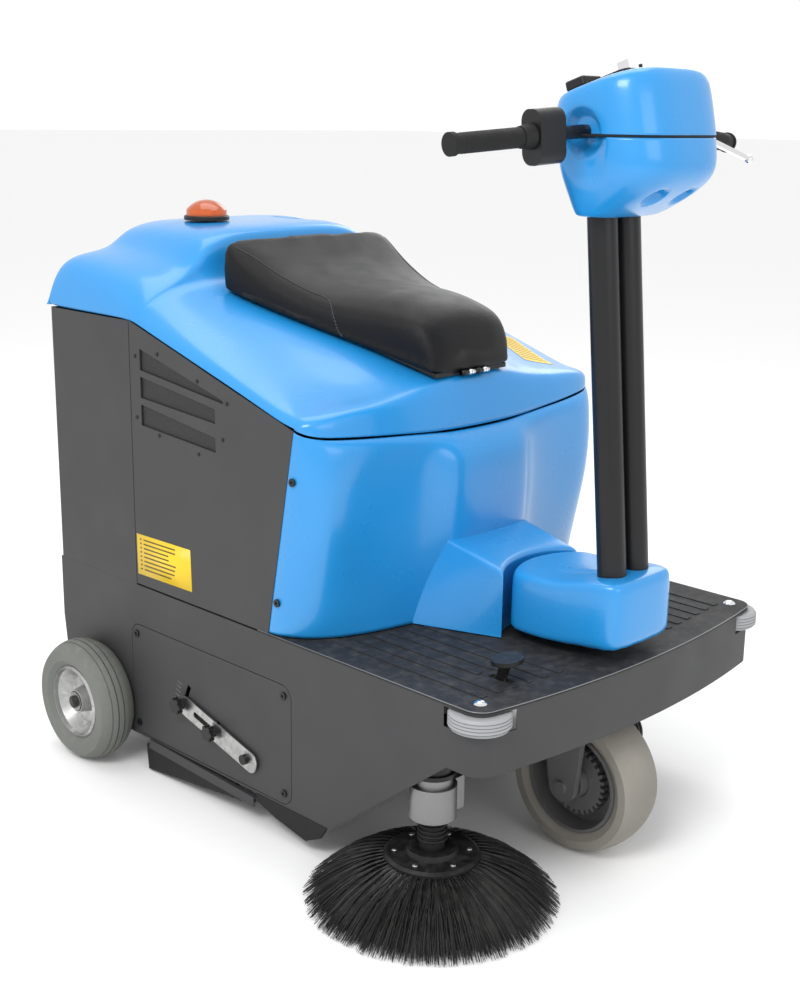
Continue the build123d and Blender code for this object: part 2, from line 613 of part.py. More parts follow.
def seat_layer(low, high_points):
    """A slab between the pan's underside plus `low` and a top line, cut to the seat's plan."""
    with BuildPart() as layer:
        with BuildSketch(Plane.YZ.offset(-SEAT_BACK_HALF - 5)):
            with BuildLine():
                Polyline(
                    (SEAT_FRONT_Y, seat_base(SEAT_FRONT_Y) + low), *high_points,
                    (SEAT_BACK_Y, seat_base(SEAT_BACK_Y) + low), (SEAT_MID_Y, seat_base(SEAT_MID_Y) + low), close=True)
            make_face()
        extrude(amount=2 * SEAT_BACK_HALF + 10)
        with BuildSketch(Plane.XY.offset(500)):
            make_face(seat_outline())
        extrude(amount=900, mode=Mode.INTERSECT)
    return layer


seat_pan = seat_layer(0, [
    (SEAT_FRONT_Y, seat_base(SEAT_FRONT_Y) + PAN_THICK),
    (SEAT_MID_Y, seat_base(SEAT_MID_Y) + PAN_THICK),
    (SEAT_BACK_Y, seat_base(SEAT_BACK_Y) + PAN_THICK)])
seat_cushion = seat_layer(PAN_THICK, [
    (SEAT_FRONT_Y, seat_base(SEAT_FRONT_Y) + 84),
    (SEAT_FRONT_Y + 30, seat_base(SEAT_FRONT_Y) + 100),
    (SEAT_MID_Y, seat_base(SEAT_MID_Y) + 68),
    (SEAT_MID_Y + 90, seat_base(SEAT_MID_Y + 90) + 50),
    (SEAT_BACK_Y - 60, seat_base(SEAT_BACK_Y - 60) + 72),
    (SEAT_BACK_Y, seat_base(SEAT_BACK_Y) + 98)])

SEAT_HINGE_Z = seat_base(SEAT_FRONT_Y) + 4.0
HINGE_BARREL = 4.0
with seat_pan:
    # the hinge barrel and its leaf are welded under the front edge
    with Locations((0, HINGE_Y, SEAT_HINGE_Z)):
        Cylinder(HINGE_BARREL, 74, rotation=(0, 90, 0))
    with Locations((0, HINGE_Y + 4, SEAT_HINGE_Z)):
        Box(60, 8, 4)

# ---------------------------------------------------------------- steering column
with BuildPart() as front_fork:
    leg_x = FRONT_TYRE_WIDTH / 2 + FORK_GAP
    crown_z = 2 * FRONT_TYRE_RADIUS + 16
    for side in (-1, 1):
        with BuildSketch(Plane.YZ.offset(side * leg_x)):
            with BuildLine():
                Polyline(
                    (STEER_Y - 52, crown_z + 22), (STEER_Y + 52, crown_z + 22),
                    (STEER_Y + 30, FRONT_TYRE_RADIUS), (STEER_Y - 30, FRONT_TYRE_RADIUS), close=True)
            make_face()
            with Locations((STEER_Y, FRONT_TYRE_RADIUS)):
                Circle(30)
            with Locations((STEER_Y, FRONT_TYRE_RADIUS)):
                Circle(FRONT_AXLE_RADIUS, mode=Mode.SUBTRACT)
        extrude(amount=side * FORK_LEG)
    with Locations((0, STEER_Y, crown_z + 11)):
        Box(2 * leg_x + 2, 104, 22)
    with BuildSketch(Plane.XY.offset(crown_z + 22)):
        with Locations((0, STEER_Y)):
            Circle(40)
    extrude(amount=CHASSIS_TOP - 50.5 - crown_z - 22)
    with BuildSketch(Plane.XY.offset(crown_z + 20)):
        with Locations((0, STEER_Y)):
            Circle(STEER_SHAFT_RADIUS)
    extrude(amount=DECK_TOP + 31 - crown_z - 20)
    # the axle is pressed into both legs
    with BuildSketch(Plane.YZ.offset(-leg_x - FORK_LEG - 8)):
        with Locations((STEER_Y, FRONT_TYRE_RADIUS)):
            Circle(FRONT_AXLE_RADIUS)
    extrude(amount=2 * (leg_x + FORK_LEG + 8))

FOOT_BASE = DECK_TOP + 31.0
with BuildPart() as column_tubes:
    tube_low, tube_high = FOOT_BASE + 14.0, HEAD_SEAM - 24.0
    lean_dir = (0, LEAN, 1)
    for side in (-1, 1):
        foot = Plane((side * TUBE_SPREAD, column_y(tube_low), tube_low), x_dir=(1, 0, 0), z_dir=lean_dir)
        with BuildSketch(foot):
            Circle(TUBE_RADIUS)
            Circle(TUBE_RADIUS - TUBE_WALL, mode=Mode.SUBTRACT)
        extrude(amount=(tube_high - tube_low) * math.hypot(1, LEAN))
    with Locations((0, (column_y(tube_low) + STEER_Y) / 2, FOOT_BASE + 10)):
        Box(2 * (TUBE_SPREAD + TUBE_RADIUS) + 6, 134, 20)

with BuildPart() as column_cover:
    for inset, top in ((0.0, COVER_SHOULDER), (4.0, COVER_SHOULDER - 4)):
        with BuildSketch(Plane.XY.offset(COVER_BOTTOM - inset)):
            r = COVER_RADIUS - inset
            rear_x = 94.0 - inset
            rear = (rear_x, STEER_Y + math.sqrt(r * r - rear_x * rear_x))
            with BuildLine():
                ThreePointArc(rear, (0, STEER_Y + r), (-rear[0], rear[1]))
                Polyline(
                    (-rear[0], rear[1]), (-108 + inset, STEER_Y + 36), (-88 + inset, STEER_Y - 96),
                    (-68 + inset, STEER_Y - 119 + inset), (68 - inset, STEER_Y - 119 + inset),
                    (88 - inset, STEER_Y - 96), (108 - inset, STEER_Y + 36), rear)
            make_face()
        extrude(amount=top - COVER_BOTTOM + inset, mode=Mode.ADD if inset == 0 else Mode.SUBTRACT)
    with BuildSketch(Plane.XY.offset(COVER_SHOULDER - 4)):
        with Locations((0, STEER_Y - 71)):
            RectangleRounded(158, 90, 20)
    extrude(amount=COVER_TOP - COVER_SHOULDER + 4)
    with BuildSketch(Plane.XY.offset(COVER_SHOULDER - 6)):
        with Locations((0, STEER_Y - 71)):
            RectangleRounded(150, 82, 17)
    extrude(amount=COVER_TOP - COVER_SHOULDER + 2, mode=Mode.SUBTRACT)
    for side in (-1, 1):
        foot = Plane((side * TUBE_SPREAD, column_y(COVER_TOP - 60), COVER_TOP - 60), x_dir=(1, 0, 0), z_dir=lean_dir)
        with BuildSketch(foot):
            Circle(TUBE_RADIUS + 1)
        extrude(amount=80, mode=Mode.SUBTRACT)

# ---------------------------------------------------------------- steering head
HEAD_BACK_Y = STEER_Y + 72.0
HEAD_LEVELS = [
    # height, half width, front edge, back edge, corner radius
    (HEAD_BOTTOM, 84.0, STEER_Y - 44.0, STEER_Y + 32.0, 24.0),
    (HEAD_BOTTOM + 36, 106.0, STEER_Y - 116.0, STEER_Y + 48.0, 34.0),
    (HEAD_BOTTOM + 74, HEAD_HALF_WIDTH - 3, STEER_Y - 160.0, STEER_Y + 62.0, 40.0),
    (HEAD_SEAM - 1.5, HEAD_HALF_WIDTH, STEER_Y - 152.0, HEAD_BACK_Y, 42.0),
    (HEAD_SEAM + 1.5, HEAD_HALF_WIDTH, STEER_Y - 152.0, HEAD_BACK_Y, 42.0),
    (HEAD_SEAM + 60, HEAD_HALF_WIDTH - 4, STEER_Y - 128.0, HEAD_BACK_Y, 42.0),
    (HEAD_TOP + 4, HEAD_HALF_WIDTH - 16, STEER_Y - 98.0, HEAD_BACK_Y - 6, 36.0),
]
HEAD_TILT = math.degrees(math.atan2(HEAD_TOP - 1372.0, 165.0))
HEAD_WALL = 4.0
DASH_Y = STEER_Y - 20.0


def head_top(y):
    """Height of the head's sloping top."""
    return HEAD_TOP - (y - STEER_Y + 100.0) * math.tan(math.radians(HEAD_TILT))


def head_loft(levels, inset=0.0):
    """A stack of rounded rectangles between levels of the head."""
    with BuildPart() as shape:
        for z, half, front, rear, radius in levels:
            with BuildSketch(Plane.XY.offset(z)):
                with Locations((0, (front + rear) / 2)):
                    RectangleRounded(2 * (half - inset), rear - front - 2 * inset, radius - inset)
        loft(ruled=True)
    return shape.part


def shifted(levels, first, last):
    """The same levels with the end heights moved, for the hollow of a half."""
    moved = [list(level) for level in levels]
    moved[0][0] += first
    moved[-1][0] += last
    return moved


BAR_Y = STEER_Y - 17.0
BAR_ROOT = HEAD_HALF_WIDTH - 10.0
with BuildPart() as head_lower:
    add(head_loft(HEAD_LEVELS[:4]))
    add(head_loft(shifted(HEAD_LEVELS[:4], HEAD_WALL, 0.5), HEAD_WALL), mode=Mode.SUBTRACT)
    for side in (-1, 1):
        foot = Plane((side * TUBE_SPREAD, column_y(HEAD_BOTTOM - 8), HEAD_BOTTOM - 8), x_dir=(1, 0, 0), z_dir=lean_dir)
        with BuildSketch(foot):
            Circle(TUBE_RADIUS + 0.5)
        extrude(amount=30, mode=Mode.SUBTRACT)
    with BuildSketch(Plane.YZ.offset(-HEAD_HALF_WIDTH - 5)):
        with Locations((BAR_Y, BAR_HEIGHT)):
            Circle(BAR_RADIUS + 6)
    extrude(amount=2 * HEAD_HALF_WIDTH + 10, mode=Mode.SUBTRACT)

with BuildPart() as head_upper:
    add(head_loft(HEAD_LEVELS[4:]))
    top_plane = Plane((0, STEER_Y - 100, HEAD_TOP), x_dir=(1, 0, 0), z_dir=(0, math.tan(math.radians(HEAD_TILT)), 1))
    split(bisect_by=top_plane, keep=Keep.BOTTOM)
    add(head_loft(shifted(HEAD_LEVELS[4:], -0.5, -40.0), HEAD_WALL), mode=Mode.SUBTRACT)
    with BuildSketch(Plane.YZ.offset(-HEAD_HALF_WIDTH - 5)):
        with Locations((BAR_Y, BAR_HEIGHT)):
            Circle(BAR_RADIUS + 6)
    extrude(amount=2 * HEAD_HALF_WIDTH + 10, mode=Mode.SUBTRACT)


def dash_plane(x, y, lift=0.0):
    """A plane on the head's sloping top with +Z out of it."""
    tilt = math.radians(HEAD_TILT)
    normal = (0, math.sin(tilt), math.cos(tilt))
    return Plane((x, y + lift * normal[1], head_top(y) + lift * normal[2]), x_dir=(1, 0, 0), z_dir=normal)


DASH_THICK = 3.0
KEY_SPOT = (-30.0, STEER_Y - 36.0)
HORN_SPOT = (42.0, STEER_Y - 36.0)
TOGGLE_SPOT = (6.0, STEER_Y - 44.0)
DISPLAY_SPOT = (-62.0, STEER_Y + 22.0)
KEY_HOLE = 5.5
HORN_HOLE = 9.5
HORN_POCKET = 5.0           # room under the button for its travel
with head_upper:
    with BuildSketch(dash_plane(*HORN_SPOT, 1.0)):
        Circle(HORN_HOLE)
    extrude(amount=-HORN_POCKET - 1.0, mode=Mode.SUBTRACT)

with BuildPart() as dash_panel:
    with BuildSketch(dash_plane(0, DASH_Y, 0.2)):
        RectangleRounded(180, 120, 14)
        with Locations((KEY_SPOT[0], (KEY_SPOT[1] - DASH_Y) / math.cos(math.radians(HEAD_TILT)))):
            Circle(KEY_HOLE, mode=Mode.SUBTRACT)
        with Locations((HORN_SPOT[0], (HORN_SPOT[1] - DASH_Y) / math.cos(math.radians(HEAD_TILT)))):
            Circle(HORN_HOLE, mode=Mode.SUBTRACT)
    extrude(amount=DASH_THICK)
    # the toggle switch's nut and stem are fixed to the panel
    with BuildSketch(dash_plane(*TOGGLE_SPOT, 0.2 + DASH_THICK)):
        RegularPolygon(8, 6)
    extrude(amount=5)
    with BuildSketch(dash_plane(*TOGGLE_SPOT, 5 + DASH_THICK)):
        Circle(2.5)
    extrude(amount=15, taper=-3)

with BuildPart() as display:
    with BuildSketch(dash_plane(*DISPLAY_SPOT, 0.2 + DASH_THICK)):
        RectangleRounded(52, 40, 5)
    extrude(amount=16)
    chamfer(display.edges().filter_by_position(Axis.Z, head_top(DISPLAY_SPOT[1]) + 8, 2000), 2)

with BuildPart() as key:
    with BuildSketch(dash_plane(*KEY_SPOT, 0.4)):
        Circle(KEY_HOLE - 0.3)
    extrude(amount=DASH_THICK + 4)
    with BuildSketch(dash_plane(*KEY_SPOT, DASH_THICK + 4)):
        RectangleRounded(3, 10, 1.2)
    extrude(amount=10)
    with BuildSketch(dash_plane(*KEY_SPOT, DASH_THICK + 13)):
        RectangleRounded(3, 22, 1.2)
    extrude(amount=14)

with BuildPart() as horn_button:
    with BuildSketch(dash_plane(*HORN_SPOT, 0.6)):
        Circle(HORN_HOLE - 0.4)
    extrude(amount=DASH_THICK + 6)
    chamfer(horn_button.edges().group_by(Axis.Z)[-1], 0.8)

# ---------------------------------------------------------------- handlebar
SWEEP, DROOP = math.radians(BAR_SWEEP), math.radians(BAR_DROOP)


def bar_direction(side):
    """Outward direction of one half of the bar."""
    flat = math.cos(DROOP)
    return Vector(side * flat * math.cos(SWEEP), flat * math.sin(SWEEP), -math.sin(DROOP))


def bar_point(side, along):
    """A point on the bar's axis, a distance out from the head."""
    root = Vector(side * BAR_ROOT, BAR_Y, BAR_HEIGHT)
    return root + bar_direction(side) * along


def bar_plane(side, along):
    """A plane across the bar with +Z outward and +X upward."""
    return Plane(tuple(bar_point(side, along)), x_dir=(0, 0, 1), z_dir=tuple(bar_direction(side)))


HOUSING_START, HOUSING_WIDTH = 54.0, 52.0
GRIP_START = HOUSING_START + HOUSING_WIDTH + 2.0
BAR_END = GRIP_START + GRIP_LENGTH + 44.0
with BuildPart() as handlebar:
    with BuildSketch(Plane.YZ.offset(-BAR_ROOT)):
        with Locations((BAR_Y, BAR_HEIGHT)):
            Circle(BAR_RADIUS)
    extrude(amount=2 * BAR_ROOT)
    for side in (-1, 1):
        with Locations((side * BAR_ROOT, BAR_Y, BAR_HEIGHT)):
            Sphere(BAR_RADIUS)
        with BuildSketch(bar_plane(side, 0)):
            Circle(BAR_RADIUS)
        extrude(amount=BAR_END - 4)
    for side in (-1, 1):
        with Locations((side * TUBE_SPREAD, (BAR_Y + column_y(HEAD_SEAM - 30)) / 2, HEAD_SEAM - 9)):
            Box(30, 24, 22)

GRIP_CLEAR = 0.05
with BuildPart() as throttle_grip:
    with BuildSketch(bar_plane(-1, GRIP_START)):
        Circle(GRIP_RADIUS + 5)
        Circle(BAR_RADIUS + GRIP_CLEAR, mode=Mode.SUBTRACT)
    extrude(amount=22, taper=9)
    with BuildSketch(bar_plane(-1, GRIP_START + 20)):
        Circle(GRIP_RADIUS)
        Circle(BAR_RADIUS + GRIP_CLEAR, mode=Mode.SUBTRACT)
    extrude(amount=GRIP_LENGTH + 18)
    with BuildSketch(bar_plane(-1, BAR_END - 6)):
        Circle(GRIP_RADIUS + 2.5)
        Circle(BAR_RADIUS + GRIP_CLEAR, mode=Mode.SUBTRACT)
    extrude(amount=6)
    with BuildSketch(bar_plane(-1, BAR_END)):
        Circle(GRIP_RADIUS + 2.5)
    extrude(amount=3)

with BuildPart() as left_grip:
    with BuildSketch(bar_plane(1, GRIP_START)):
        Circle(GRIP_RADIUS)
        Circle(BAR_RADIUS, mode=Mode.SUBTRACT)
    extrude(amount=BAR_END - GRIP_START)
    with BuildSketch(bar_plane(1, BAR_END)):
        Circle(GRIP_RADIUS + 2.5)
    extrude(amount=4)

with BuildPart() as throttle_housing:
    with BuildSketch(bar_plane(-1, HOUSING_START)):
        with Locations((-2, 0)):
            RectangleRounded(88, 48, 20)
        Circle(BAR_RADIUS, mode=Mode.SUBTRACT)
    extrude(amount=HOUSING_WIDTH)
    chamfer(throttle_housing.edges().filter_by(GeomType.LINE, reverse=True).filter_by_position(
        Axis.X, -2 * HALF_WIDTH, -BAR_ROOT).sort_by(SortBy.LENGTH)[-2:], 3)

LEVER_PIVOT_ALONG = 62.0
LEVER_OUT = 34.0            # bar axis to the lever's pin
LEVER_PIN_RADIUS = 3.5
LEVER_HUB_RADIUS = 14.0
LEVER_THICK = 8.0
LEVER_EAR = 3.0
EAR_RADIUS = 10.0
BRAKE_LEVER_REACH = 182.0
LEVER_DROOP = math.radians(14.0)   # the lever falls away from the bar
LEVER_SPLAY = math.radians(9.0)    # and stands further ahead at its end
LEVER_CENTRE = bar_point(1, LEVER_PIVOT_ALONG) + Vector(0, -LEVER_OUT, 0)
ear_z = LEVER_THICK / 2 + 0.4
with BuildPart() as brake_bracket:
    with BuildSketch(bar_plane(1, LEVER_PIVOT_ALONG - 12)):
        Circle(BAR_RADIUS + 7)
        Circle(BAR_RADIUS, mode=Mode.SUBTRACT)
    extrude(amount=24)
    # two ears hold the lever's pin
    for low in (ear_z, -ear_z - LEVER_EAR):
        with BuildSketch(Plane((LEVER_CENTRE.X, LEVER_CENTRE.Y, LEVER_CENTRE.Z + low))):
            Circle(EAR_RADIUS)
            with Locations((0, LEVER_OUT / 2 - BAR_RADIUS / 2)):
                Rectangle(2 * EAR_RADIUS, LEVER_OUT - BAR_RADIUS)
        extrude(amount=LEVER_EAR)
    with Locations(tuple(LEVER_CENTRE)):
        Cylinder(LEVER_PIN_RADIUS, 2 * (ear_z + LEVER_EAR))

with BuildPart() as brake_lever:
    with BuildSketch(Plane(tuple(LEVER_CENTRE)).offset(-LEVER_THICK / 2)):
        Circle(LEVER_HUB_RADIUS)
        Circle(LEVER_PIN_RADIUS + RUN_FIT, mode=Mode.SUBTRACT)
    extrude(amount=LEVER_THICK)
    # the blade lies ahead of the grip and droops below it
    along_bar = math.atan2(bar_direction(1).Y, bar_direction(1).X) - LEVER_SPLAY
    lever_x = Vector(math.cos(along_bar), math.sin(along_bar), -math.tan(LEVER_DROOP)).normalized()
    lever_y = Vector(-math.sin(along_bar), math.cos(along_bar), 0)
    blade = Plane(tuple(LEVER_CENTRE), x_dir=tuple(lever_x), z_dir=tuple(lever_x.cross(lever_y)))
    with BuildSketch(blade.offset(-LEVER_THICK / 2)):
        with BuildLine():
            Polyline((EAR_RADIUS + 2, -6), (EAR_RADIUS + 2, 0), (EAR_RADIUS + 9, 5), (BRAKE_LEVER_REACH, 5),
                     (BRAKE_LEVER_REACH, -5), (60, -8), close=True)
        make_face()
    extrude(amount=LEVER_THICK)
    with Locations(blade.location * Location((BRAKE_LEVER_REACH, 0, 0))):
        Sphere(8.5)

# ---------------------------------------------------------------- wheels


def tyre(x_mid, y, radius, width, rim, crown, grooves=()):
    """A solid tyre of revolution about an X axis, with grooves round its tread."""
    half = width / 2
    shoulder = radius - crown
    with BuildPart() as body:
        with BuildSketch(Plane((x_mid, y, radius), x_dir=(1, 0, 0), z_dir=(0, -1, 0))):
            with BuildLine():
                Line((-half + 10, rim), (-half, rim + 14))
                Line((-half, rim + 14), (-half, shoulder))
                ThreePointArc((-half, shoulder), (0, radius), (half, shoulder))
                Line((half, shoulder), (half, rim + 14))
                Line((half, rim + 14), (half - 10, rim))
                Line((half - 10, rim), (-half + 10, rim))
            make_face()
            for offset in grooves:
                with Locations((offset, radius - 2)):
                    Rectangle(3, 7, mode=Mode.SUBTRACT)
        revolve(axis=Axis((x_mid, y, radius), (1, 0, 0)))
    return body


def rear_rim(side, x_mid):
    """A pressed rim: barrel with a lip, dished web set in from the outside, and a hub."""
    half = REAR_TYRE_WIDTH / 2
    out = side
    with BuildPart() as rim:
        with BuildSketch(Plane((x_mid, REAR_AXLE_Y, REAR_TYRE_RADIUS), x_dir=(out, 0, 0), z_dir=(0, -out, 0))):
            with BuildLine():
                Polyline(
                    (-half + 10, REAR_RIM_RADIUS), (half - 10, REAR_RIM_RADIUS), (half - 8, REAR_RIM_RADIUS + 1),
                    (half - 4, REAR_RIM_RADIUS - 4), (half - 9, REAR_RIM_RADIUS - 5), (half - 14, REAR_RIM_RADIUS - 6),
                    (2, 50), (-3, 30), (half - 12, 24), (half - 12, REAR_STUB_RADIUS + 8),
                    (half - 10, REAR_STUB_RADIUS + 8), (half - 10, REAR_STUB_RADIUS + RUN_FIT),
                    (-half + 4, REAR_STUB_RADIUS + RUN_FIT), (-half + 4, 26), (-9, 28), (-3, 56),
                    (-half + 10, REAR_RIM_RADIUS - 6), close=True)
            make_face()
        revolve(axis=Axis((x_mid, REAR_AXLE_Y, REAR_TYRE_RADIUS), (1, 0, 0)))
    return rim


REAR_WHEEL_X = HALF_WIDTH + REAR_WHEEL_GAP + REAR_TYRE_WIDTH / 2
GEAR_RADIUS = FRONT_RIM_RADIUS - 34
with BuildPart() as front_rim:
    with BuildSketch(Plane((0, STEER_Y, FRONT_TYRE_RADIUS), x_dir=(1, 0, 0), z_dir=(0, -1, 0))):
        with BuildLine():
            Polyline(
                (-38, FRONT_RIM_RADIUS), (38, FRONT_RIM_RADIUS), (44, FRONT_RIM_RADIUS - 2), (44, FRONT_RIM_RADIUS - 8),
                (8, FRONT_RIM_RADIUS - 14), (8, 34), (48, 30), (48, FRONT_AXLE_RADIUS + RUN_FIT),
                (-48, FRONT_AXLE_RADIUS + RUN_FIT), (-48, 30), (-8, 34), (-8, FRONT_RIM_RADIUS - 14),
                (-44, FRONT_RIM_RADIUS - 8), (-44, FRONT_RIM_RADIUS - 2), close=True)
        make_face()
    revolve(axis=Axis((0, STEER_Y, FRONT_TYRE_RADIUS), (1, 0, 0)))
    # drive gear on the right face
    with BuildSketch(Plane.YZ.offset(-8)):
        with Locations((STEER_Y, FRONT_TYRE_RADIUS)):
            Circle(GEAR_RADIUS - 7)
            with PolarLocations(GEAR_RADIUS - 5, 30):
                Rectangle(12, 6)
            Circle(33, mode=Mode.SUBTRACT)
    extrude(amount=-22)

front_tyre = tyre(0, STEER_Y, FRONT_TYRE_RADIUS, FRONT_TYRE_WIDTH, FRONT_RIM_RADIUS, 10.0)
rear_tyres = {
    side: tyre(side * REAR_WHEEL_X, REAR_AXLE_Y, REAR_TYRE_RADIUS, REAR_TYRE_WIDTH, REAR_RIM_RADIUS,
               16.0, (-20, -7, 7, 20))
    for side in (-1, 1)}
rear_rims = {side: rear_rim(side, side * REAR_WHEEL_X) for side in (-1, 1)}

MOTOR_X = leg_x + FORK_LEG
with BuildPart() as drive_motor:
    with BuildSketch(Plane.YZ.offset(MOTOR_X)):
        with Locations((STEER_Y, FRONT_TYRE_RADIUS + 40)):
            RectangleRounded(86, 130, 26)
        with Locations((STEER_Y, FRONT_TYRE_RADIUS)):
            Circle(FRONT_AXLE_RADIUS + 1, mode=Mode.SUBTRACT)
    extrude(amount=20)
    with BuildSketch(Plane.YZ.offset(MOTOR_X + 20)):
        with Locations((STEER_Y, FRONT_TYRE_RADIUS + 60)):
            Circle(38)
    extrude(amount=34)
    for k in range(4):
        with BuildSketch(Plane.YZ.offset(MOTOR_X + 23 + 8 * k)):
            with Locations((STEER_Y, FRONT_TYRE_RADIUS + 60)):
                Circle(42)
        extrude(amount=4)

# ---------------------------------------------------------------- side brush
CLAMP_BOTTOM = 160.0
CLAMP_TOP = 222.0
MOTOR_TOP = 338.0
with BuildPart() as brush_arm:
    with BuildSketch(Plane.XY.offset(CLAMP_BOTTOM)):
        with Locations((BRUSH_X, BRUSH_Y)):
            Circle(42)
            Circle(BRUSH_SHAFT_RADIUS + 2, mode=Mode.SUBTRACT)
        with Locations((BRUSH_X + 52, BRUSH_Y)):
            RectangleRounded(34, 34, 8)
    extrude(amount=CLAMP_TOP - CLAMP_BOTTOM)
    with BuildSketch(Plane.XY.offset(CLAMP_TOP)):
        with Locations((BRUSH_X, BRUSH_Y)):
            Circle(34)
            Circle(BRUSH_SHAFT_RADIUS + 2, mode=Mode.SUBTRACT)
    extrude(amount=18)
    arm_x = (BRUSH_LUGS[0] + BRUSH_LUGS[1]) / 2
    with BuildSketch(Plane.YZ.offset(arm_x - 6)):
        with BuildLine():
            Polyline(
                (BRUSH_Y + 20, CLAMP_BOTTOM + 6), (BRUSH_Y + 20, CLAMP_TOP),
                (BRUSH_PIVOT_Y - 12, BRUSH_PIVOT_HEIGHT + 18), (BRUSH_PIVOT_Y + 14, BRUSH_PIVOT_HEIGHT + 12),
                (BRUSH_PIVOT_Y + 14, BRUSH_PIVOT_HEIGHT - 14), (BRUSH_Y + 60, CLAMP_BOTTOM + 6), close=True)
        make_face()
    extrude(amount=12)
    with Locations(((BRUSH_X + arm_x) / 2, BRUSH_Y + 37, (CLAMP_BOTTOM + CLAMP_TOP) / 2)):
        Box(arm_x - BRUSH_X + 12, 20, 40)
    with Locations((arm_x, BRUSH_PIVOT_Y, BRUSH_PIVOT_HEIGHT)):
        Cylinder(BRUSH_PIVOT_RADIUS, BRUSH_LUGS[1] - BRUSH_LUGS[0] + LUG_THICK + 12, rotation=(0, 90, 0))

with BuildPart() as brush_motor:
    with BuildSketch(Plane.XY.offset(CLAMP_TOP + 18)):
        with Locations((BRUSH_X, BRUSH_Y)):
            Circle(40)
    extrude(amount=8)
    with BuildSketch(Plane.XY.offset(CLAMP_TOP + 26)):
        with Locations((BRUSH_X, BRUSH_Y)):
            Circle(35)
    extrude(amount=MOTOR_TOP - CLAMP_TOP - 26)

with BuildPart() as brush_hub:
    with BuildSketch(Plane((BRUSH_X, BRUSH_Y, 0), x_dir=(1, 0, 0), z_dir=(0, -1, 0))):
        with BuildLine():
            Polyline(
                (0, 76), (BRUSH_DISC_RADIUS - 6, 76), (BRUSH_DISC_RADIUS, 82), (BRUSH_DISC_RADIUS, 88),
                (BRUSH_DISC_RADIUS - 6, BRUSH_DISC_HEIGHT - 3), (48, BRUSH_DISC_HEIGHT - 3),
                (45, BRUSH_DISC_HEIGHT + 6), (38, BRUSH_DISC_HEIGHT + 7), (BRUSH_SHAFT_RADIUS, BRUSH_DISC_HEIGHT + 2),
                (BRUSH_SHAFT_RADIUS, CLAMP_TOP + 14), (0, CLAMP_TOP + 14), close=True)
        make_face()
    revolve(axis=Axis((BRUSH_X, BRUSH_Y, 0), (0, 0, 1)))

BRISTLE_FLOOR = 2.0
with BuildPart() as brush_bristles:
    with BuildSketch(Plane((BRUSH_X, BRUSH_Y, 0), x_dir=(1, 0, 0), z_dir=(0, -1, 0))):
        with BuildLine():
            Polyline(
                (48, 76), (BRUSH_DISC_RADIUS - 8, 76), (BRUSH_RADIUS - 60, 50), (BRUSH_RADIUS, 14),
                (BRUSH_RADIUS - 4, BRISTLE_FLOOR), (BRUSH_RADIUS - 60, BRISTLE_FLOOR), (60, 50), close=True)
        make_face()
    revolve(axis=Axis((BRUSH_X, BRUSH_Y, 0), (0, 0, 1)))

# ---------------------------------------------------------------- main broom
ARM_PLATE = 8.0
ARM_X = BROOM_HALF_LENGTH + 8.0
LEVER_X = HALF_WIDTH + 5.0
with BuildPart() as broom_arms:
    for side in (-1, 1):
        with BuildSketch(Plane.YZ.offset(side * ARM_X)):
            with BuildLine():
                Polyline(
                    (BROOM_PIVOT_Y - 4, BROOM_PIVOT_HEIGHT + 24), (BROOM_Y, BROOM_Z + 22), (BROOM_Y, BROOM_Z - 22),
                    (BROOM_PIVOT_Y - 4, BROOM_PIVOT_HEIGHT - 24), close=True)
            make_face()
            with Locations((BROOM_PIVOT_Y, BROOM_PIVOT_HEIGHT)):
                Circle(26)
            with Locations((BROOM_Y, BROOM_Z)):
                Circle(22)
                Circle(BROOM_STUB_RADIUS + RUN_FIT, mode=Mode.SUBTRACT)
        extrude(amount=side * ARM_PLATE)
        # a short pivot shaft through the cover plate
        reach = LEVER_X + 12 if side < 0 else HALF_WIDTH + 4
        with BuildSketch(Plane.YZ.offset(side * ARM_X)):
            with Locations((BROOM_PIVOT_Y, BROOM_PIVOT_HEIGHT)):
                Circle(BROOM_PIVOT_RADIUS)
        extrude(amount=side * (reach - ARM_X))
    # the cross tube joins both arms ahead of the broom
    with BuildSketch(Plane.YZ.offset(-ARM_X)):
        with Locations((BROOM_PIVOT_Y - 3, BROOM_PIVOT_HEIGHT)):
            Circle(16)
    extrude(amount=2 * ARM_X)

with BuildPart() as height_lever:
    lever_plane = Plane((-LEVER_X, BROOM_PIVOT_Y, BROOM_PIVOT_HEIGHT), x_dir=(
        0, math.cos(math.radians(LEVER_ANGLE)), math.sin(math.radians(LEVER_ANGLE))), z_dir=(1, 0, 0))
    with BuildSketch(lever_plane):
        with Locations((LEVER_LENGTH / 2 - 22, 0)):
            RectangleRounded(LEVER_LENGTH + 20, LEVER_WIDTH, 18)
        Circle(BROOM_PIVOT_RADIUS, mode=Mode.SUBTRACT)
        with Locations(*[(d, 0) for d in KNOB_DISTANCES]):
            Circle(STUD_RADIUS + RUN_FIT, mode=Mode.SUBTRACT)
        with Locations((KNOB_DISTANCES[0] + 40, 0)):
            SlotOverall(54, 12, mode=Mode.SUBTRACT)
    extrude(amount=-SHEET)

KNOB_SPOTS = [rot((d, 0), LEVER_ANGLE) for d in KNOB_DISTANCES]


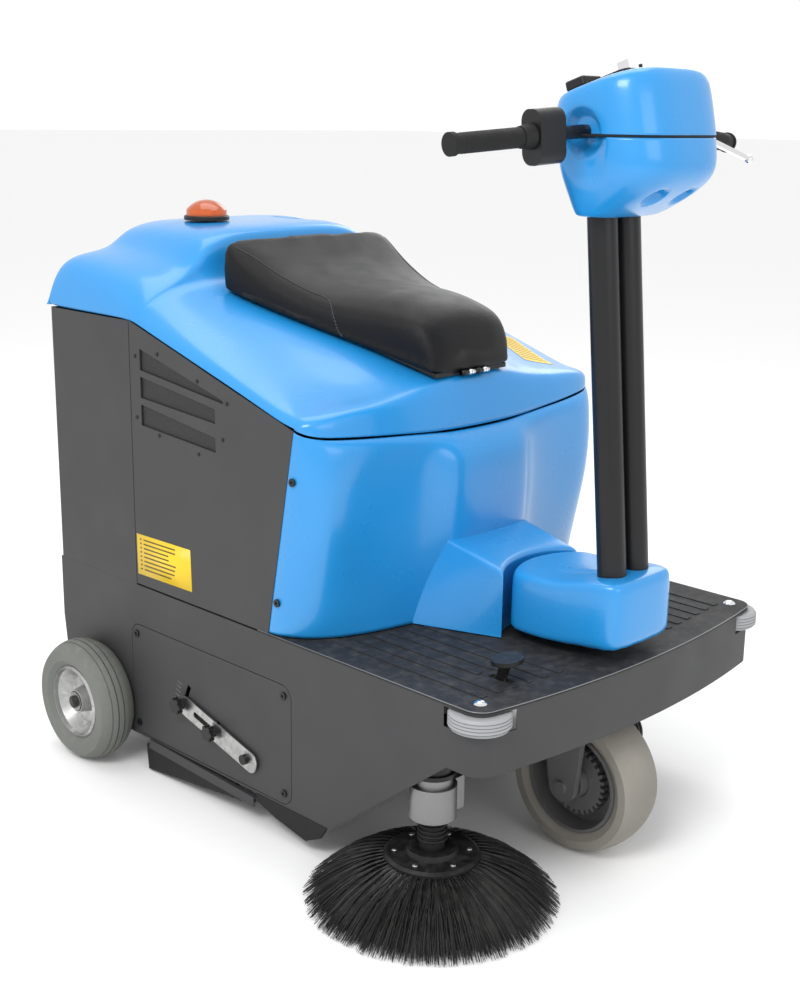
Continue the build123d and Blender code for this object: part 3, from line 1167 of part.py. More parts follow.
def clamp_knob(step):
    """A lobed clamping knob with its stud, on the height lever."""
    with BuildPart() as knob:
        y, z = BROOM_PIVOT_Y + step[0], BROOM_PIVOT_HEIGHT + step[1]
        with BuildSketch(Plane.YZ.offset(-LEVER_X - SHEET - 0.4)):
            with Locations((y, z)):
                Circle(9)
        extrude(amount=-7)
        with BuildSketch(Plane.YZ.offset(-LEVER_X - SHEET - 7)):
            with Locations((y, z)):
                Circle(KNOB_RADIUS - 2)
                with PolarLocations(KNOB_RADIUS - 3, 6):
                    Circle(5)
        extrude(amount=-13)
        with BuildSketch(Plane.YZ.offset(-LEVER_X - SHEET - 2)):
            with Locations((y, z)):
                Circle(STUD_RADIUS)
        extrude(amount=LEVER_X + SHEET + 2 - INNER + 2)
    return knob


knobs = {"upper_knob": clamp_knob(KNOB_SPOTS[1]), "lower_knob": clamp_knob(KNOB_SPOTS[0])}
LEVER_RAISE = 9.0           # degrees the lever rises from the resting setting
SLOT_SPARE = 3.0            # degrees of slot beyond each end of that travel
ARC_CLEAR = 1.5
def arc_slot(distance):
    """Outline of the slot that a stud at this distance from the pivot travels in."""
    half = STUD_RADIUS + ARC_CLEAR
    angles = (LEVER_ANGLE - SLOT_SPARE, LEVER_ANGLE + LEVER_RAISE / 2, LEVER_ANGLE + LEVER_RAISE + SLOT_SPARE)
    spots = {
        radius: [Vector(BROOM_PIVOT_Y, BROOM_PIVOT_HEIGHT) + Vector(*rot((radius, 0), angle)) for angle in angles]
        for radius in (distance - half, distance + half)}
    inner, outer = spots.values()
    with BuildLine() as edge:
        ThreePointArc(*inner)
        Line(inner[2], outer[2])
        ThreePointArc(*reversed(outer))
        Line(outer[0], inner[0])
    return edge.line


with BuildPart() as cover_plates:
    for side in (-1, 1):
        with BuildSketch(Plane.YZ.offset(side * (INNER + SHEET / 2) - SHEET / 2)):
            with Locations((COVER_PLATE_MID_Y, COVER_PLATE_MID_Z)):
                RectangleRounded(COVER_PLATE_LENGTH, COVER_PLATE_HEIGHT, 26)
            with Locations((BROOM_PIVOT_Y, BROOM_PIVOT_HEIGHT)):
                Circle(BROOM_PIVOT_RADIUS + RUN_FIT, mode=Mode.SUBTRACT)
            if side < 0:
                for distance in KNOB_DISTANCES:
                    make_face(arc_slot(distance), mode=Mode.SUBTRACT)
        extrude(amount=SHEET)

BROOM_LOBES = 12
with BuildPart() as broom_core:
    with BuildSketch(Plane.YZ.offset(-BROOM_HALF_LENGTH)):
        with Locations((BROOM_Y, BROOM_Z)):
            Circle(BROOM_CORE_RADIUS)
    extrude(amount=2 * BROOM_HALF_LENGTH)
    with BuildSketch(Plane.YZ.offset(-ARM_X - ARM_PLATE + 1)):
        with Locations((BROOM_Y, BROOM_Z)):
            Circle(BROOM_STUB_RADIUS)
    extrude(amount=2 * (ARM_X + ARM_PLATE - 1))

with BuildPart() as broom_bristles:
    with BuildSketch(Plane.YZ.offset(-BROOM_HALF_LENGTH + 4)):
        with Locations((BROOM_Y, BROOM_Z)):
            Circle(BROOM_RADIUS)
            with PolarLocations(BROOM_RADIUS + 2, BROOM_LOBES):
                Circle(16, mode=Mode.SUBTRACT)
            Circle(BROOM_CORE_RADIUS, mode=Mode.SUBTRACT)
    extrude(amount=2 * BROOM_HALF_LENGTH - 8)

BROOM_MOTOR_Y = BROOM_PIVOT_Y + 20.0
BROOM_MOTOR_Z = BROOM_PIVOT_HEIGHT + 158.0
with BuildPart() as broom_motor:
    with BuildSketch(Plane.YZ.offset(ARM_X - 190)):
        with Locations((BROOM_MOTOR_Y, BROOM_MOTOR_Z)):
            Circle(46)
    extrude(amount=150)
    with BuildSketch(Plane.YZ.offset(ARM_X - 40)):
        with Locations((BROOM_MOTOR_Y, BROOM_MOTOR_Z)):
            Circle(9)
    extrude(amount=30)
    with Locations((ARM_X - 115, BROOM_MOTOR_Y, (BROOM_MOTOR_Z + CHASSIS_TOP) / 2 + 20)):
        Box(90, 60, CHASSIS_TOP - BROOM_MOTOR_Z - 40)

# ---------------------------------------------------------------- flaps, rollers, fasteners
FLAP_REAR = COVER_PLATE_REAR - 55.0
FLAP_FRONT = BROOM_PIVOT_Y - 18.0
with BuildPart() as flap_rails:
    for side in (-1, 1):
        with BuildSketch(Plane.YZ.offset(side * (HALF_WIDTH + 2))):
            with BuildLine():
                Polyline(
                    (FLAP_REAR, 74), (FLAP_FRONT, 62), (FLAP_FRONT, 42), (FLAP_REAR, 54), close=True)
            make_face()
        extrude(amount=side * 3)
        with BuildSketch(Plane.YZ.offset(side * (HALF_WIDTH - 10))):
            with BuildLine():
                Polyline((FLAP_REAR, 71.5), (FLAP_FRONT, 60.0), (FLAP_FRONT, 57.0), (FLAP_REAR, 68.5), close=True)
            make_face()
        extrude(amount=side * 12)

with BuildPart() as rubber_flaps:
    for side in (-1, 1):
        with BuildSketch(Plane.YZ.offset(side * (HALF_WIDTH - 2))):
            with BuildLine():
                Polyline((FLAP_REAR + 14, 58), (FLAP_REAR + 8, 4), (FLAP_FRONT + 40, 40), (FLAP_FRONT, 50),
                         (FLAP_FRONT, 56.5), (FLAP_REAR, 68), close=True)
            make_face()
        extrude(amount=side * 4)
        with BuildSketch(Plane.YZ.offset(side * (INNER - 1))):
            with BuildLine():
                Polyline(
                    (FLAP_FRONT - 6, CHASSIS_FLOOR), (PANEL_FRONT_Y - 88, CHASSIS_FLOOR), (PANEL_FRONT_Y - 70, 44),
                    (PANEL_FRONT_Y - 30, 24), (FLAP_FRONT - 60, 40), (FLAP_FRONT - 6, 56), close=True)
            make_face()
        extrude(amount=side * 5)

rollers = {}
for name, side in (("right_roller", -1), ("left_roller", 1)):
    with BuildPart() as roller:
        with BuildSketch(Plane((side * ROLLER_X, ROLLER_Y, 0), x_dir=(1, 0, 0), z_dir=(0, -1, 0))):
            low, high = CHASSIS_TOP - ROLLER_THICK - 2, CHASSIS_TOP - 2
            with BuildLine():
                Polyline(
                    (ROLLER_BORE + RUN_FIT, low), (ROLLER_RADIUS - 4, low), (ROLLER_RADIUS, low + 5),
                    (ROLLER_RADIUS, high - 5), (ROLLER_RADIUS - 4, high), (ROLLER_BORE + RUN_FIT, high), close=True)
            make_face()
            for k in range(4):
                with Locations((ROLLER_RADIUS, low + 6 + 6 * k)):
                    Rectangle(3, 1.6, mode=Mode.SUBTRACT)
        revolve(axis=Axis((side * ROLLER_X, ROLLER_Y, 0), (0, 0, 1)))
    rollers[name] = roller

with BuildPart() as dome_bolts:
    for side in (-1, 1):
        with BuildSketch(Plane.XY.offset(CHASSIS_TOP - ROLLER_THICK - 12)):
            with Locations((side * ROLLER_X, ROLLER_Y)):
                RegularPolygon(10, 6)
        extrude(amount=8)
        with BuildSketch(Plane.XY.offset(CHASSIS_TOP - ROLLER_THICK - 4)):
            with Locations((side * ROLLER_X, ROLLER_Y)):
                Circle(ROLLER_BORE)
        extrude(amount=DECK_TOP - CHASSIS_TOP + ROLLER_THICK + 4)
        with BuildSketch(Plane((side * ROLLER_X, ROLLER_Y, DECK_TOP), x_dir=(1, 0, 0), z_dir=(0, -1, 0))):
            make_face(dome_profile(12, 0, 1.5, 6))
        revolve(axis=Axis((side * ROLLER_X, ROLLER_Y, 0), (0, 0, 1)))


def panel_screws():
    """Places (y, z) of the black screws on each side."""
    plate = [
        (y, z) for y in (COVER_PLATE_FRONT + 20, COVER_PLATE_REAR - 18)
        for z in (COVER_PLATE_BOTTOM + 22, COVER_PLATE_TOP - 20)]
    rake = PANEL_FRONT_RAKE / (PANEL_FRONT_TOP - DECK_TOP)
    nose = [(PANEL_FRONT_Y + (PANEL_FRONT_TOP - z) * rake - 14, z) for z in (PANEL_FRONT_TOP - 92, DECK_TOP + 66)]
    return plate + nose


with BuildPart() as black_screws:
    for side in (-1, 1):
        for index, (y, z) in enumerate(panel_screws()):
            seat_x = HALF_WIDTH if index < 4 else HALF_WIDTH - 1
            with BuildSketch(Plane.YZ.offset(side * seat_x)):
                with Locations((y, z)):
                    Circle(7.5)
                    RegularPolygon(3, 6, mode=Mode.SUBTRACT)
            extrude(amount=side * 3.5)
    for side in (-1, 1):
        with BuildSketch(Plane.YZ.offset(side * HALF_WIDTH)):
            for y, z in (
                (VENT_REAR_Y + 15, VENT_TOP_Z - 16), (VENT_REAR_Y - 58, VENT_TOP_Z - 4),
                (VENT_REAR_Y - 182, VENT_TOP_Z - 40), (VENT_REAR_Y - 270, VENT_TOP_Z - 70),
                (VENT_REAR_Y + 15, VENT_TOP_Z - 138), (VENT_REAR_Y - 58, VENT_TOP_Z - 164),
                (VENT_REAR_Y - 182, VENT_TOP_Z - 180), (VENT_REAR_Y - 256, VENT_TOP_Z - 140)):
                with Locations((y, z)):
                    Circle(3.5)
        extrude(amount=side * 1.8)

# ---------------------------------------------------------------- foot pedals
PEDAL_RISE = 42.0
PEDAL_PIN_DROP = 22.0       # pedal pivot below the deck
PEDAL_PIN_SETBACK = 90.0


def foot_pedal(spot):
    """An oval foot pad on a cranked lever that passes down through the deck."""
    x, y = spot
    with BuildPart() as pedal:
        with BuildSketch(Plane.XY.offset(DECK_TOP + PEDAL_RISE - 8)):
            with Locations((x, y)):
                Ellipse(33, 24)
        extrude(amount=8)
        with BuildSketch(Plane.YZ.offset(x - 4)):
            with BuildLine():
                Polyline(
                    (y - 8, DECK_TOP + PEDAL_RISE - 8), (y + 12, DECK_TOP + PEDAL_RISE - 8), (y + 22, DECK_TOP),
                    (y + 24, DECK_TOP - PEDAL_PIN_DROP - 2), (y + PEDAL_PIN_SETBACK, DECK_TOP - PEDAL_PIN_DROP - 2),
                    (y + PEDAL_PIN_SETBACK, DECK_TOP - PEDAL_PIN_DROP - 18),
                    (y + 4, DECK_TOP - PEDAL_PIN_DROP - 18), (y + 6, DECK_TOP - 6), close=True)
            make_face()
        extrude(amount=8)
        with Locations((x, y + PEDAL_PIN_SETBACK, DECK_TOP - PEDAL_PIN_DROP - 10)):
            Cylinder(9, 20, rotation=(0, 90, 0))
    return pedal


pedals = {name: foot_pedal(spot) for name, spot in PEDAL_SPOTS.items()}

# ---------------------------------------------------------------- inside the body
HOPPER_LENGTH = REAR_Y - HOPPER_FRONT + 2
HANDLE_OUT = 40.0
with BuildPart() as hopper:
    hopper_mid = (HOPPER_FRONT + REAR_Y) / 2 + 2
    with Locations((0, hopper_mid, (HOPPER_BOTTOM + HOPPER_TOP) / 2)):
        Box(2 * HOPPER_HALF_WIDTH, HOPPER_LENGTH, HOPPER_TOP - HOPPER_BOTTOM)
    with Locations((0, hopper_mid - 8, (HOPPER_BOTTOM + HOPPER_TOP) / 2 + 6)):
        Box(2 * HOPPER_HALF_WIDTH - 8, HOPPER_LENGTH - 8, HOPPER_TOP - HOPPER_BOTTOM, mode=Mode.SUBTRACT)
    # runners that ride on the chassis rails
    runner = INNER - HOPPER_HALF_WIDTH - RAIL_WIDTH / 2 + RAIL_LAP
    runner_z = HOPPER_BOTTOM + RAIL_RISE + (SHEET + RUNNER_SHEET) / 2 + RAIL_GAP
    for side in (-1, 1):
        with Locations((side * (HOPPER_HALF_WIDTH + runner / 2), hopper_mid, runner_z)):
            Box(runner, HOPPER_LENGTH - 40, RUNNER_SHEET)
    # bail handle on the rear face
    for side in (-1, 1):
        with Locations((side * 80, REAR_Y + HANDLE_OUT / 2 + 1, HOPPER_TOP - 60)):
            Box(12, HANDLE_OUT, 12)
    with Locations((0, REAR_Y + HANDLE_OUT, HOPPER_TOP - 60)):
        Cylinder(7, 172, rotation=(0, 90, 0))

BATTERY = (170.0, 180.0, 230.0)
with BuildPart() as batteries:
    battery_rear = SEAM_Y - 10.0
    for x in (-88, 88):
        for row in range(2):
            y = battery_rear - BATTERY[1] / 2 - row * (BATTERY[1] + 6)
            with Locations((x, y, CHASSIS_TOP + SHEET + BATTERY[2] / 2)):
                Box(*BATTERY)
            for pole in (-50, 50):
                with Locations((x + pole, battery_rear - 40 - row * (BATTERY[1] + 6),
                                CHASSIS_TOP + SHEET + BATTERY[2] + 8)):
                    Cylinder(8, 16)

with BuildPart() as dust_filter:
    with Locations((0, (SEAM_Y + REAR_Y) / 2, DECK_TOP + 90)):
        Box(520, 210, 150)
    for k in range(12):
        with Locations((-240 + k * 43.6, (SEAM_Y + REAR_Y) / 2, DECK_TOP + 172)):
            Box(20, 190, 14)

with BuildPart() as vacuum_fan:
    with BuildSketch(Plane.XY.offset(DECK_TOP + 200)):
        with Locations((0, (SEAM_Y + REAR_Y) / 2)):
            Circle(105)
        with Locations((90, (SEAM_Y + REAR_Y) / 2 + 60)):
            Rectangle(90, 60)
    extrude(amount=70)
    with BuildSketch(Plane.XY.offset(DECK_TOP + 270)):
        with Locations((0, (SEAM_Y + REAR_Y) / 2)):
            Circle(60)
    extrude(amount=120)
    with BuildSketch(Plane.XY.offset(DECK_TOP + 186.0)):
        with Locations((0, (SEAM_Y + REAR_Y) / 2)):
            Circle(70)
    extrude(amount=14)

# ---------------------------------------------------------------- write the pieces
os.makedirs("parts", exist_ok=True)
PIECES = {
    "chassis_shell": chassis_shell, "platform_deck": platform_deck, "steering_bearing": steering_bearing,
    "rear_stub_axles": rear_stub_axles, "right_side_panel": side_panel(-1), "left_side_panel": side_panel(1),
    "rear_cover": rear_cover, "vent_grilles": vent_grilles, "front_body": front_body, "hood": hood,
    "beacon_base": beacon_base, "beacon_lens": beacon_lens, "seat_pan": seat_pan, "seat_cushion": seat_cushion,
    "front_fork": front_fork, "column_tubes": column_tubes,
    "column_cover": column_cover, "head_lower": head_lower, "head_upper": head_upper, "dash_panel": dash_panel,
    "display": display, "key": key, "horn_button": horn_button,
    "handlebar": handlebar, "throttle_grip": throttle_grip, "left_grip": left_grip,
    "throttle_housing": throttle_housing, "brake_bracket": brake_bracket, "brake_lever": brake_lever,
    "front_rim": front_rim, "front_tyre": front_tyre, "drive_motor": drive_motor,
    "right_rear_tyre": rear_tyres[-1], "left_rear_tyre": rear_tyres[1],
    "right_rear_rim": rear_rims[-1], "left_rear_rim": rear_rims[1],
    "brush_arm": brush_arm, "brush_motor": brush_motor, "brush_hub": brush_hub, "brush_bristles": brush_bristles,
    "broom_arms": broom_arms, "height_lever": height_lever, **knobs, "cover_plates": cover_plates,
    "broom_core": broom_core, "broom_bristles": broom_bristles, "broom_motor": broom_motor,
    "flap_rails": flap_rails, "rubber_flaps": rubber_flaps, **rollers, "dome_bolts": dome_bolts,
    "black_screws": black_screws, **pedals, "hopper": hopper,
    "batteries": batteries, "dust_filter": dust_filter, "vacuum_fan": vacuum_fan,
}
for label, piece in PIECES.items():
    save(piece, label)
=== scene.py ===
"""Looks of a ride-on floor sweeper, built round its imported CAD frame.

Every length is in metres, in the frame's own axes: +Z up, -Y the driving direction, -X the machine's right-hand side.
"""

from __future__ import annotations

import json
import logging
import math
import random
from dataclasses import dataclass, field
from enum import Enum
from typing import Callable, Iterable, Sequence

import bpy
import bmesh
from mathutils import Matrix, Vector
from mathutils.bvhtree import BVHTree

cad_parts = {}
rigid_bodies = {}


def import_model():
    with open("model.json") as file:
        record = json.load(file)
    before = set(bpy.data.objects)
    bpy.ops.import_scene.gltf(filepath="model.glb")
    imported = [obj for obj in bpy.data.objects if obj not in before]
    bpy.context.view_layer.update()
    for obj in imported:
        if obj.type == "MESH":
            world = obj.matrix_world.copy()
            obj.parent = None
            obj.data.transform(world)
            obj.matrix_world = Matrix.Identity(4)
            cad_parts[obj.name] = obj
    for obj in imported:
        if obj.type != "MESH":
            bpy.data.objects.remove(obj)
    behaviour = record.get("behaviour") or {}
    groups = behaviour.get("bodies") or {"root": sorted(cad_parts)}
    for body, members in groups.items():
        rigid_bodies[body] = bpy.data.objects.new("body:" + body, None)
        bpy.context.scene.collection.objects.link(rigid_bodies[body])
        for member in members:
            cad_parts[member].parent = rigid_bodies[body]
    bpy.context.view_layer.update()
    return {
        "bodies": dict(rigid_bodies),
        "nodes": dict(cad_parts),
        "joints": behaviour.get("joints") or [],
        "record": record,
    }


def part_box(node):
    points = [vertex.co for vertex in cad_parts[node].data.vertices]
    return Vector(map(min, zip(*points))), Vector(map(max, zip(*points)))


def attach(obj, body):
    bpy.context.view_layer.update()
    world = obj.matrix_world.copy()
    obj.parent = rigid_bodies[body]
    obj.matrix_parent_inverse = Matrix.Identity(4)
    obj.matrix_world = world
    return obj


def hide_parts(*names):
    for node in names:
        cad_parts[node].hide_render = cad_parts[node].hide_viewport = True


LOG = logging.getLogger("sweeper")
COAT_ROUGHNESS = 0.12

RGB = tuple[float, float, float]
Row = list[Vector]


# ---------------------------------------------------------------- node helpers
class Graph:
    """Adds nodes to one node tree.

    Args:
        tree: the node tree to fill.
    """

    def __init__(self, tree: bpy.types.NodeTree) -> None:
        """Keep the tree."""
        self.tree = tree

    def add(self, kind: str, settings: dict | None = None, **inputs: object) -> bpy.types.Node:
        """Add a node, set its properties and fill its sockets.

        Args:
            kind: the node's type name.
            settings: properties of the node itself.
            **inputs: socket names (an underscore for a space) with a value or an output socket.

        Returns:
            The new node.
        """
        node = self.tree.nodes.new(kind)
        for key, value in (settings or {}).items():
            setattr(node, key, value)
        for key, value in inputs.items():
            socket = node.inputs[int(key[1:])] if key[1:].isdigit() else node.inputs[key.replace("_", " ")]
            if isinstance(value, bpy.types.NodeSocket):
                self.tree.links.new(value, socket)
            else:
                socket.default_value = value
        return node

    def math(self, operation: str, first: object, second: object = 0.0) -> bpy.types.NodeSocket:
        """Combine two values and return the result's socket."""
        return self.add("ShaderNodeMath", {"operation": operation}, i0=first, i1=second).outputs[0]

    def mix(self, factor: object, first: object, second: object) -> bpy.types.NodeSocket:
        """Blend two colours and return the result's socket."""
        node = self.add("ShaderNodeMix", {"data_type": "RGBA"}, i0=factor, i6=first, i7=second)
        return node.outputs[2]

    def spread(self, value: object, low: float, high: float, to_low: float, to_high: float) -> bpy.types.NodeSocket:
        """Map a value from one range to another."""
        node = self.add(
            "ShaderNodeMapRange", From_Min=low, From_Max=high, To_Min=to_low, To_Max=to_high, Value=value)
        return node.outputs[0]


GroupBody = Callable[[Graph, bpy.types.Node], dict[str, bpy.types.NodeSocket]]


def shader_group(name: str, inputs: dict[str, tuple[str, object]], outputs: dict[str, str],
                 body: GroupBody) -> bpy.types.NodeTree:
    """Make a shared node group, once.

    Args:
        name: the group's name.
        inputs: socket names with their kind and default.
        outputs: socket names with their kind.
        body: builds the inside and returns the socket behind each output.

    Returns:
        The node group.
    """
    if name in bpy.data.node_groups:
        return bpy.data.node_groups[name]
    tree = bpy.data.node_groups.new(name, "ShaderNodeTree")
    for label, (kind, default) in inputs.items():
        socket = tree.interface.new_socket(label, in_out="INPUT", socket_type=f"NodeSocket{kind}")
        socket.default_value = default
    for label, kind in outputs.items():
        tree.interface.new_socket(label, in_out="OUTPUT", socket_type=f"NodeSocket{kind}")
    graph = Graph(tree)
    source = graph.add("NodeGroupInput")
    sink = graph.add("NodeGroupOutput")
    for label, socket in body(graph, source).items():
        tree.links.new(socket, sink.inputs[label])
    return tree


def object_coords(graph: Graph) -> bpy.types.NodeSocket:
    """The object's own coordinates, which stay with a piece when it moves."""
    return graph.add("ShaderNodeTexCoord").outputs["Object"]


def grain_group() -> bpy.types.NodeTree:
    """Fine moulded or sprayed grain: a bumped normal and a 0 to 1 variation."""
    def body(graph: Graph, source: bpy.types.Node) -> dict[str, bpy.types.NodeSocket]:
        """Wire the group from its input node."""
        coords = object_coords(graph)
        fine = graph.add("ShaderNodeTexNoise", Vector=coords, Scale=source.outputs["Scale"], Detail=3.0)
        broad = graph.add("ShaderNodeTexNoise", Vector=coords, Scale=9.0, Detail=4.0)
        bump = graph.add(
            "ShaderNodeBump", Height=fine.outputs[0], Strength=source.outputs["Strength"], Distance=0.0006)
        return {"Normal": bump.outputs[0], "Variation": broad.outputs[0]}
    return shader_group(
        "fine_grain", {"Scale": ("Float", 600.0), "Strength": ("Float", 0.2)},
        {"Normal": "Vector", "Variation": "Float"}, body)


def ageing_group() -> bpy.types.NodeTree:
    """Slow colour drift, and pale dust on faces that look up."""
    def body(graph: Graph, source: bpy.types.Node) -> dict[str, bpy.types.NodeSocket]:
        """Wire the group from its input node."""
        coords = object_coords(graph)
        drift = graph.add("ShaderNodeTexNoise", Vector=coords, Scale=5.0, Detail=5.0)
        dark = graph.mix(
            graph.math("MULTIPLY", drift.outputs[0], source.outputs["Drift"]), source.outputs["Colour"],
            (0.0, 0.0, 0.0, 1.0))
        normal = graph.add("ShaderNodeNewGeometry").outputs["Normal"]
        upward = graph.add("ShaderNodeSeparateXYZ", Vector=normal).outputs[2]
        specks = graph.add("ShaderNodeTexNoise", Vector=coords, Scale=60.0, Detail=6.0)
        speckled = graph.spread(specks.outputs[0], 0.45, 0.75, 0.0, 1.0)
        laid = graph.math("MULTIPLY", graph.spread(upward, 0.2, 1.0, 0.0, 1.0), speckled)
        mask = graph.math("MULTIPLY", laid, source.outputs["Dust"])
        dusty = graph.mix(mask, dark, (0.34, 0.32, 0.29, 1.0))
        rough = graph.math("ADD", source.outputs["Roughness"], graph.math("MULTIPLY", mask, 0.35))
        return {"Colour": dusty, "Roughness": rough}
    return shader_group(
        "ageing",
        {"Colour": ("Color", (0.5, 0.5, 0.5, 1.0)), "Roughness": ("Float", 0.4), "Drift": ("Float", 0.2),
         "Dust": ("Float", 0.1)},
        {"Colour": "Color", "Roughness": "Float"}, body)


def leather_group() -> bpy.types.NodeTree:
    """Vinyl grain: small rounded cells with soft creases."""
    def body(graph: Graph, source: bpy.types.Node) -> dict[str, bpy.types.NodeSocket]:
        """Wire the group from its input node."""
        coords = object_coords(graph)
        warp = graph.add("ShaderNodeTexNoise", Vector=coords, Scale=240.0, Detail=2.0)
        cells = graph.add(
            "ShaderNodeTexVoronoi", {"feature": "DISTANCE_TO_EDGE"}, Vector=coords, Scale=source.outputs["Scale"])
        height = graph.math(
            "ADD", graph.spread(cells.outputs[0], 0.0, 0.22, 0.0, 1.0), graph.math("MULTIPLY", warp.outputs[0], 0.5))
        creases = graph.add("ShaderNodeTexNoise", Vector=coords, Scale=22.0, Detail=6.0)
        soft = graph.math("ADD", height, graph.math("MULTIPLY", creases.outputs[0], 2.0))
        bump = graph.add("ShaderNodeBump", Height=soft, Strength=source.outputs["Strength"], Distance=0.0007)
        return {"Normal": bump.outputs[0], "Variation": creases.outputs[0]}
    return shader_group(
        "leather_grain", {"Scale": ("Float", 420.0), "Strength": ("Float", 0.5)},
        {"Normal": "Vector", "Variation": "Float"}, body)


def mesh_group() -> bpy.types.NodeTree:
    """Expanded-metal mesh in the YZ plane: a wire mask and its normal."""
    def body(graph: Graph, source: bpy.types.Node) -> dict[str, bpy.types.NodeSocket]:
        """Wire the group from its input node."""
        parts = graph.add("ShaderNodeSeparateXYZ", Vector=object_coords(graph))
        waves = []
        for sign in ("ADD", "SUBTRACT"):
            slanted = graph.math(sign, parts.outputs[1], graph.math("MULTIPLY", parts.outputs[2], 1.6))
            phase = graph.math("MULTIPLY", slanted, source.outputs["Pitch"])
            waves.append(graph.math("ABSOLUTE", graph.math("SINE", phase)))
        wire = graph.math("MINIMUM", waves[0], waves[1])
        mask = graph.spread(wire, 0.38, 0.55, 1.0, 0.0)
        bump = graph.add("ShaderNodeBump", Height=mask, Strength=0.9, Distance=0.0012)
        return {"Mask": mask, "Normal": bump.outputs[0]}
    return shader_group(
        "wire_mesh", {"Pitch": ("Float", 520.0)}, {"Mask": "Float", "Normal": "Vector"}, body)


def spangle_group() -> bpy.types.NodeTree:
    """Zinc spangle with fine scratches: a brightness mask and a normal."""
    def body(graph: Graph, source: bpy.types.Node) -> dict[str, bpy.types.NodeSocket]:
        """Wire the group from its input node."""
        coords = object_coords(graph)
        cells = graph.add("ShaderNodeTexVoronoi", Vector=coords, Scale=source.outputs["Scale"])
        grey = graph.add("ShaderNodeSeparateColor", Color=cells.outputs["Color"]).outputs[0]
        scratch = graph.add("ShaderNodeTexNoise", Vector=coords, Scale=700.0, Detail=4.0, Distortion=2.0)
        bump = graph.add("ShaderNodeBump", Height=scratch.outputs[0], Strength=0.15, Distance=0.0004)
        return {"Mask": grey, "Normal": bump.outputs[0]}
    return shader_group("spangle", {"Scale": ("Float", 90.0)}, {"Mask": "Float", "Normal": "Vector"}, body)


# ---------------------------------------------------------------- finishes
class Pattern(Enum):
    """The surface pattern that a finish carries."""

    GRAIN = "grain"
    LEATHER = "leather"
    MESH = "mesh"
    SPANGLE = "spangle"


@dataclass(frozen=True)
class Finish:
    """One surface finish.

    Args:
        name: the material's name.
        colour: linear base colour.
        roughness: 0 mirror to 1 matt.
        metallic: 0 or 1 for most finishes.
        coat: strength of the clear coat.
        pattern: the surface pattern.
        scale: cells of the pattern in a metre.
        bump: strength of the pattern's relief.
        drift: how far the colour darkens in patches.
        dust: how much dust lies on upward faces.
        clear: how much light passes through.
        edge: radius of the softened edges, nothing when 0.
        shine: strength of the plain reflection.
    """

    name: str
    colour: RGB
    roughness: float
    metallic: float = 0.0
    coat: float = 0.0
    pattern: Pattern = Pattern.GRAIN
    scale: float = 600.0
    bump: float = 0.15
    drift: float = 0.2
    dust: float = 0.08
    clear: float = 0.0
    edge: float = 0.0
    shine: float = 0.5

    def material(self) -> bpy.types.Material:
        """Build the material, once.

        Returns:
            The finished material.
        """
        if self in MADE:
            return MADE[self]
        made = bpy.data.materials.new(f"look_{self.name}")
        MADE[self] = made
        made.use_nodes = True
        made.node_tree.nodes.clear()
        graph = Graph(made.node_tree)
        ageing = graph.add(
            "ShaderNodeGroup", {"node_tree": ageing_group()}, Colour=(*self.colour, 1.0), Roughness=self.roughness,
            Drift=self.drift, Dust=self.dust)
        colour, roughness = ageing.outputs["Colour"], ageing.outputs["Roughness"]
        normal = None
        if self.pattern is Pattern.GRAIN:
            grain = graph.add(
                "ShaderNodeGroup", {"node_tree": grain_group()}, Scale=self.scale, Strength=self.bump)
            normal = grain.outputs["Normal"]
            roughness = graph.math(
                "ADD", roughness, graph.spread(grain.outputs["Variation"], 0.3, 0.7, -0.05, 0.05))
        elif self.pattern is Pattern.LEATHER:
            grain = graph.add(
                "ShaderNodeGroup", {"node_tree": leather_group()}, Scale=self.scale, Strength=self.bump)
            normal = grain.outputs["Normal"]
            roughness = graph.math(
                "ADD", roughness, graph.spread(grain.outputs["Variation"], 0.3, 0.7, -0.06, 0.08))
        elif self.pattern is Pattern.MESH:
            mesh = graph.add("ShaderNodeGroup", {"node_tree": mesh_group()}, Pitch=self.scale)
            normal = mesh.outputs["Normal"]
            # The holes between the wires are painted near black: painted shade, standing in for the dark inside seen
            # through the mesh.
            colour = graph.mix(mesh.outputs["Mask"], (0.004, 0.004, 0.004, 1.0), colour)
        else:
            cells = graph.add("ShaderNodeGroup", {"node_tree": spangle_group()}, Scale=self.scale)
            normal = cells.outputs["Normal"]
            colour = graph.mix(graph.math("MULTIPLY", cells.outputs["Mask"], 0.35), colour, (0.2, 0.2, 0.2, 1.0))
            roughness = graph.math("ADD", roughness, graph.spread(cells.outputs["Mask"], 0.0, 1.0, -0.08, 0.12))
        if self.edge > 0:
            soft = graph.add("ShaderNodeBevel", {"samples": 4}, Radius=self.edge)
            face = graph.add("ShaderNodeNewGeometry")
            relief = graph.add(
                "ShaderNodeVectorMath", {"operation": "SUBTRACT"}, i0=normal, i1=face.outputs["Normal"])
            joined = graph.add(
                "ShaderNodeVectorMath", {"operation": "ADD"}, i0=soft.outputs[0], i1=relief.outputs[0])
            normal = graph.add("ShaderNodeVectorMath", {"operation": "NORMALIZE"}, i0=joined.outputs[0]).outputs[0]
        shader = graph.add(
            "ShaderNodeBsdfPrincipled", Base_Color=colour, Roughness=roughness, Metallic=self.metallic,
            Coat_Weight=self.coat, Coat_Roughness=COAT_ROUGHNESS, Specular_IOR_Level=self.shine,
            Transmission_Weight=self.clear, Normal=normal)
        out = graph.add("ShaderNodeOutputMaterial")
        made.node_tree.links.new(shader.outputs[0], out.inputs[0])
        return made


MADE: dict[Finish, bpy.types.Material] = {}

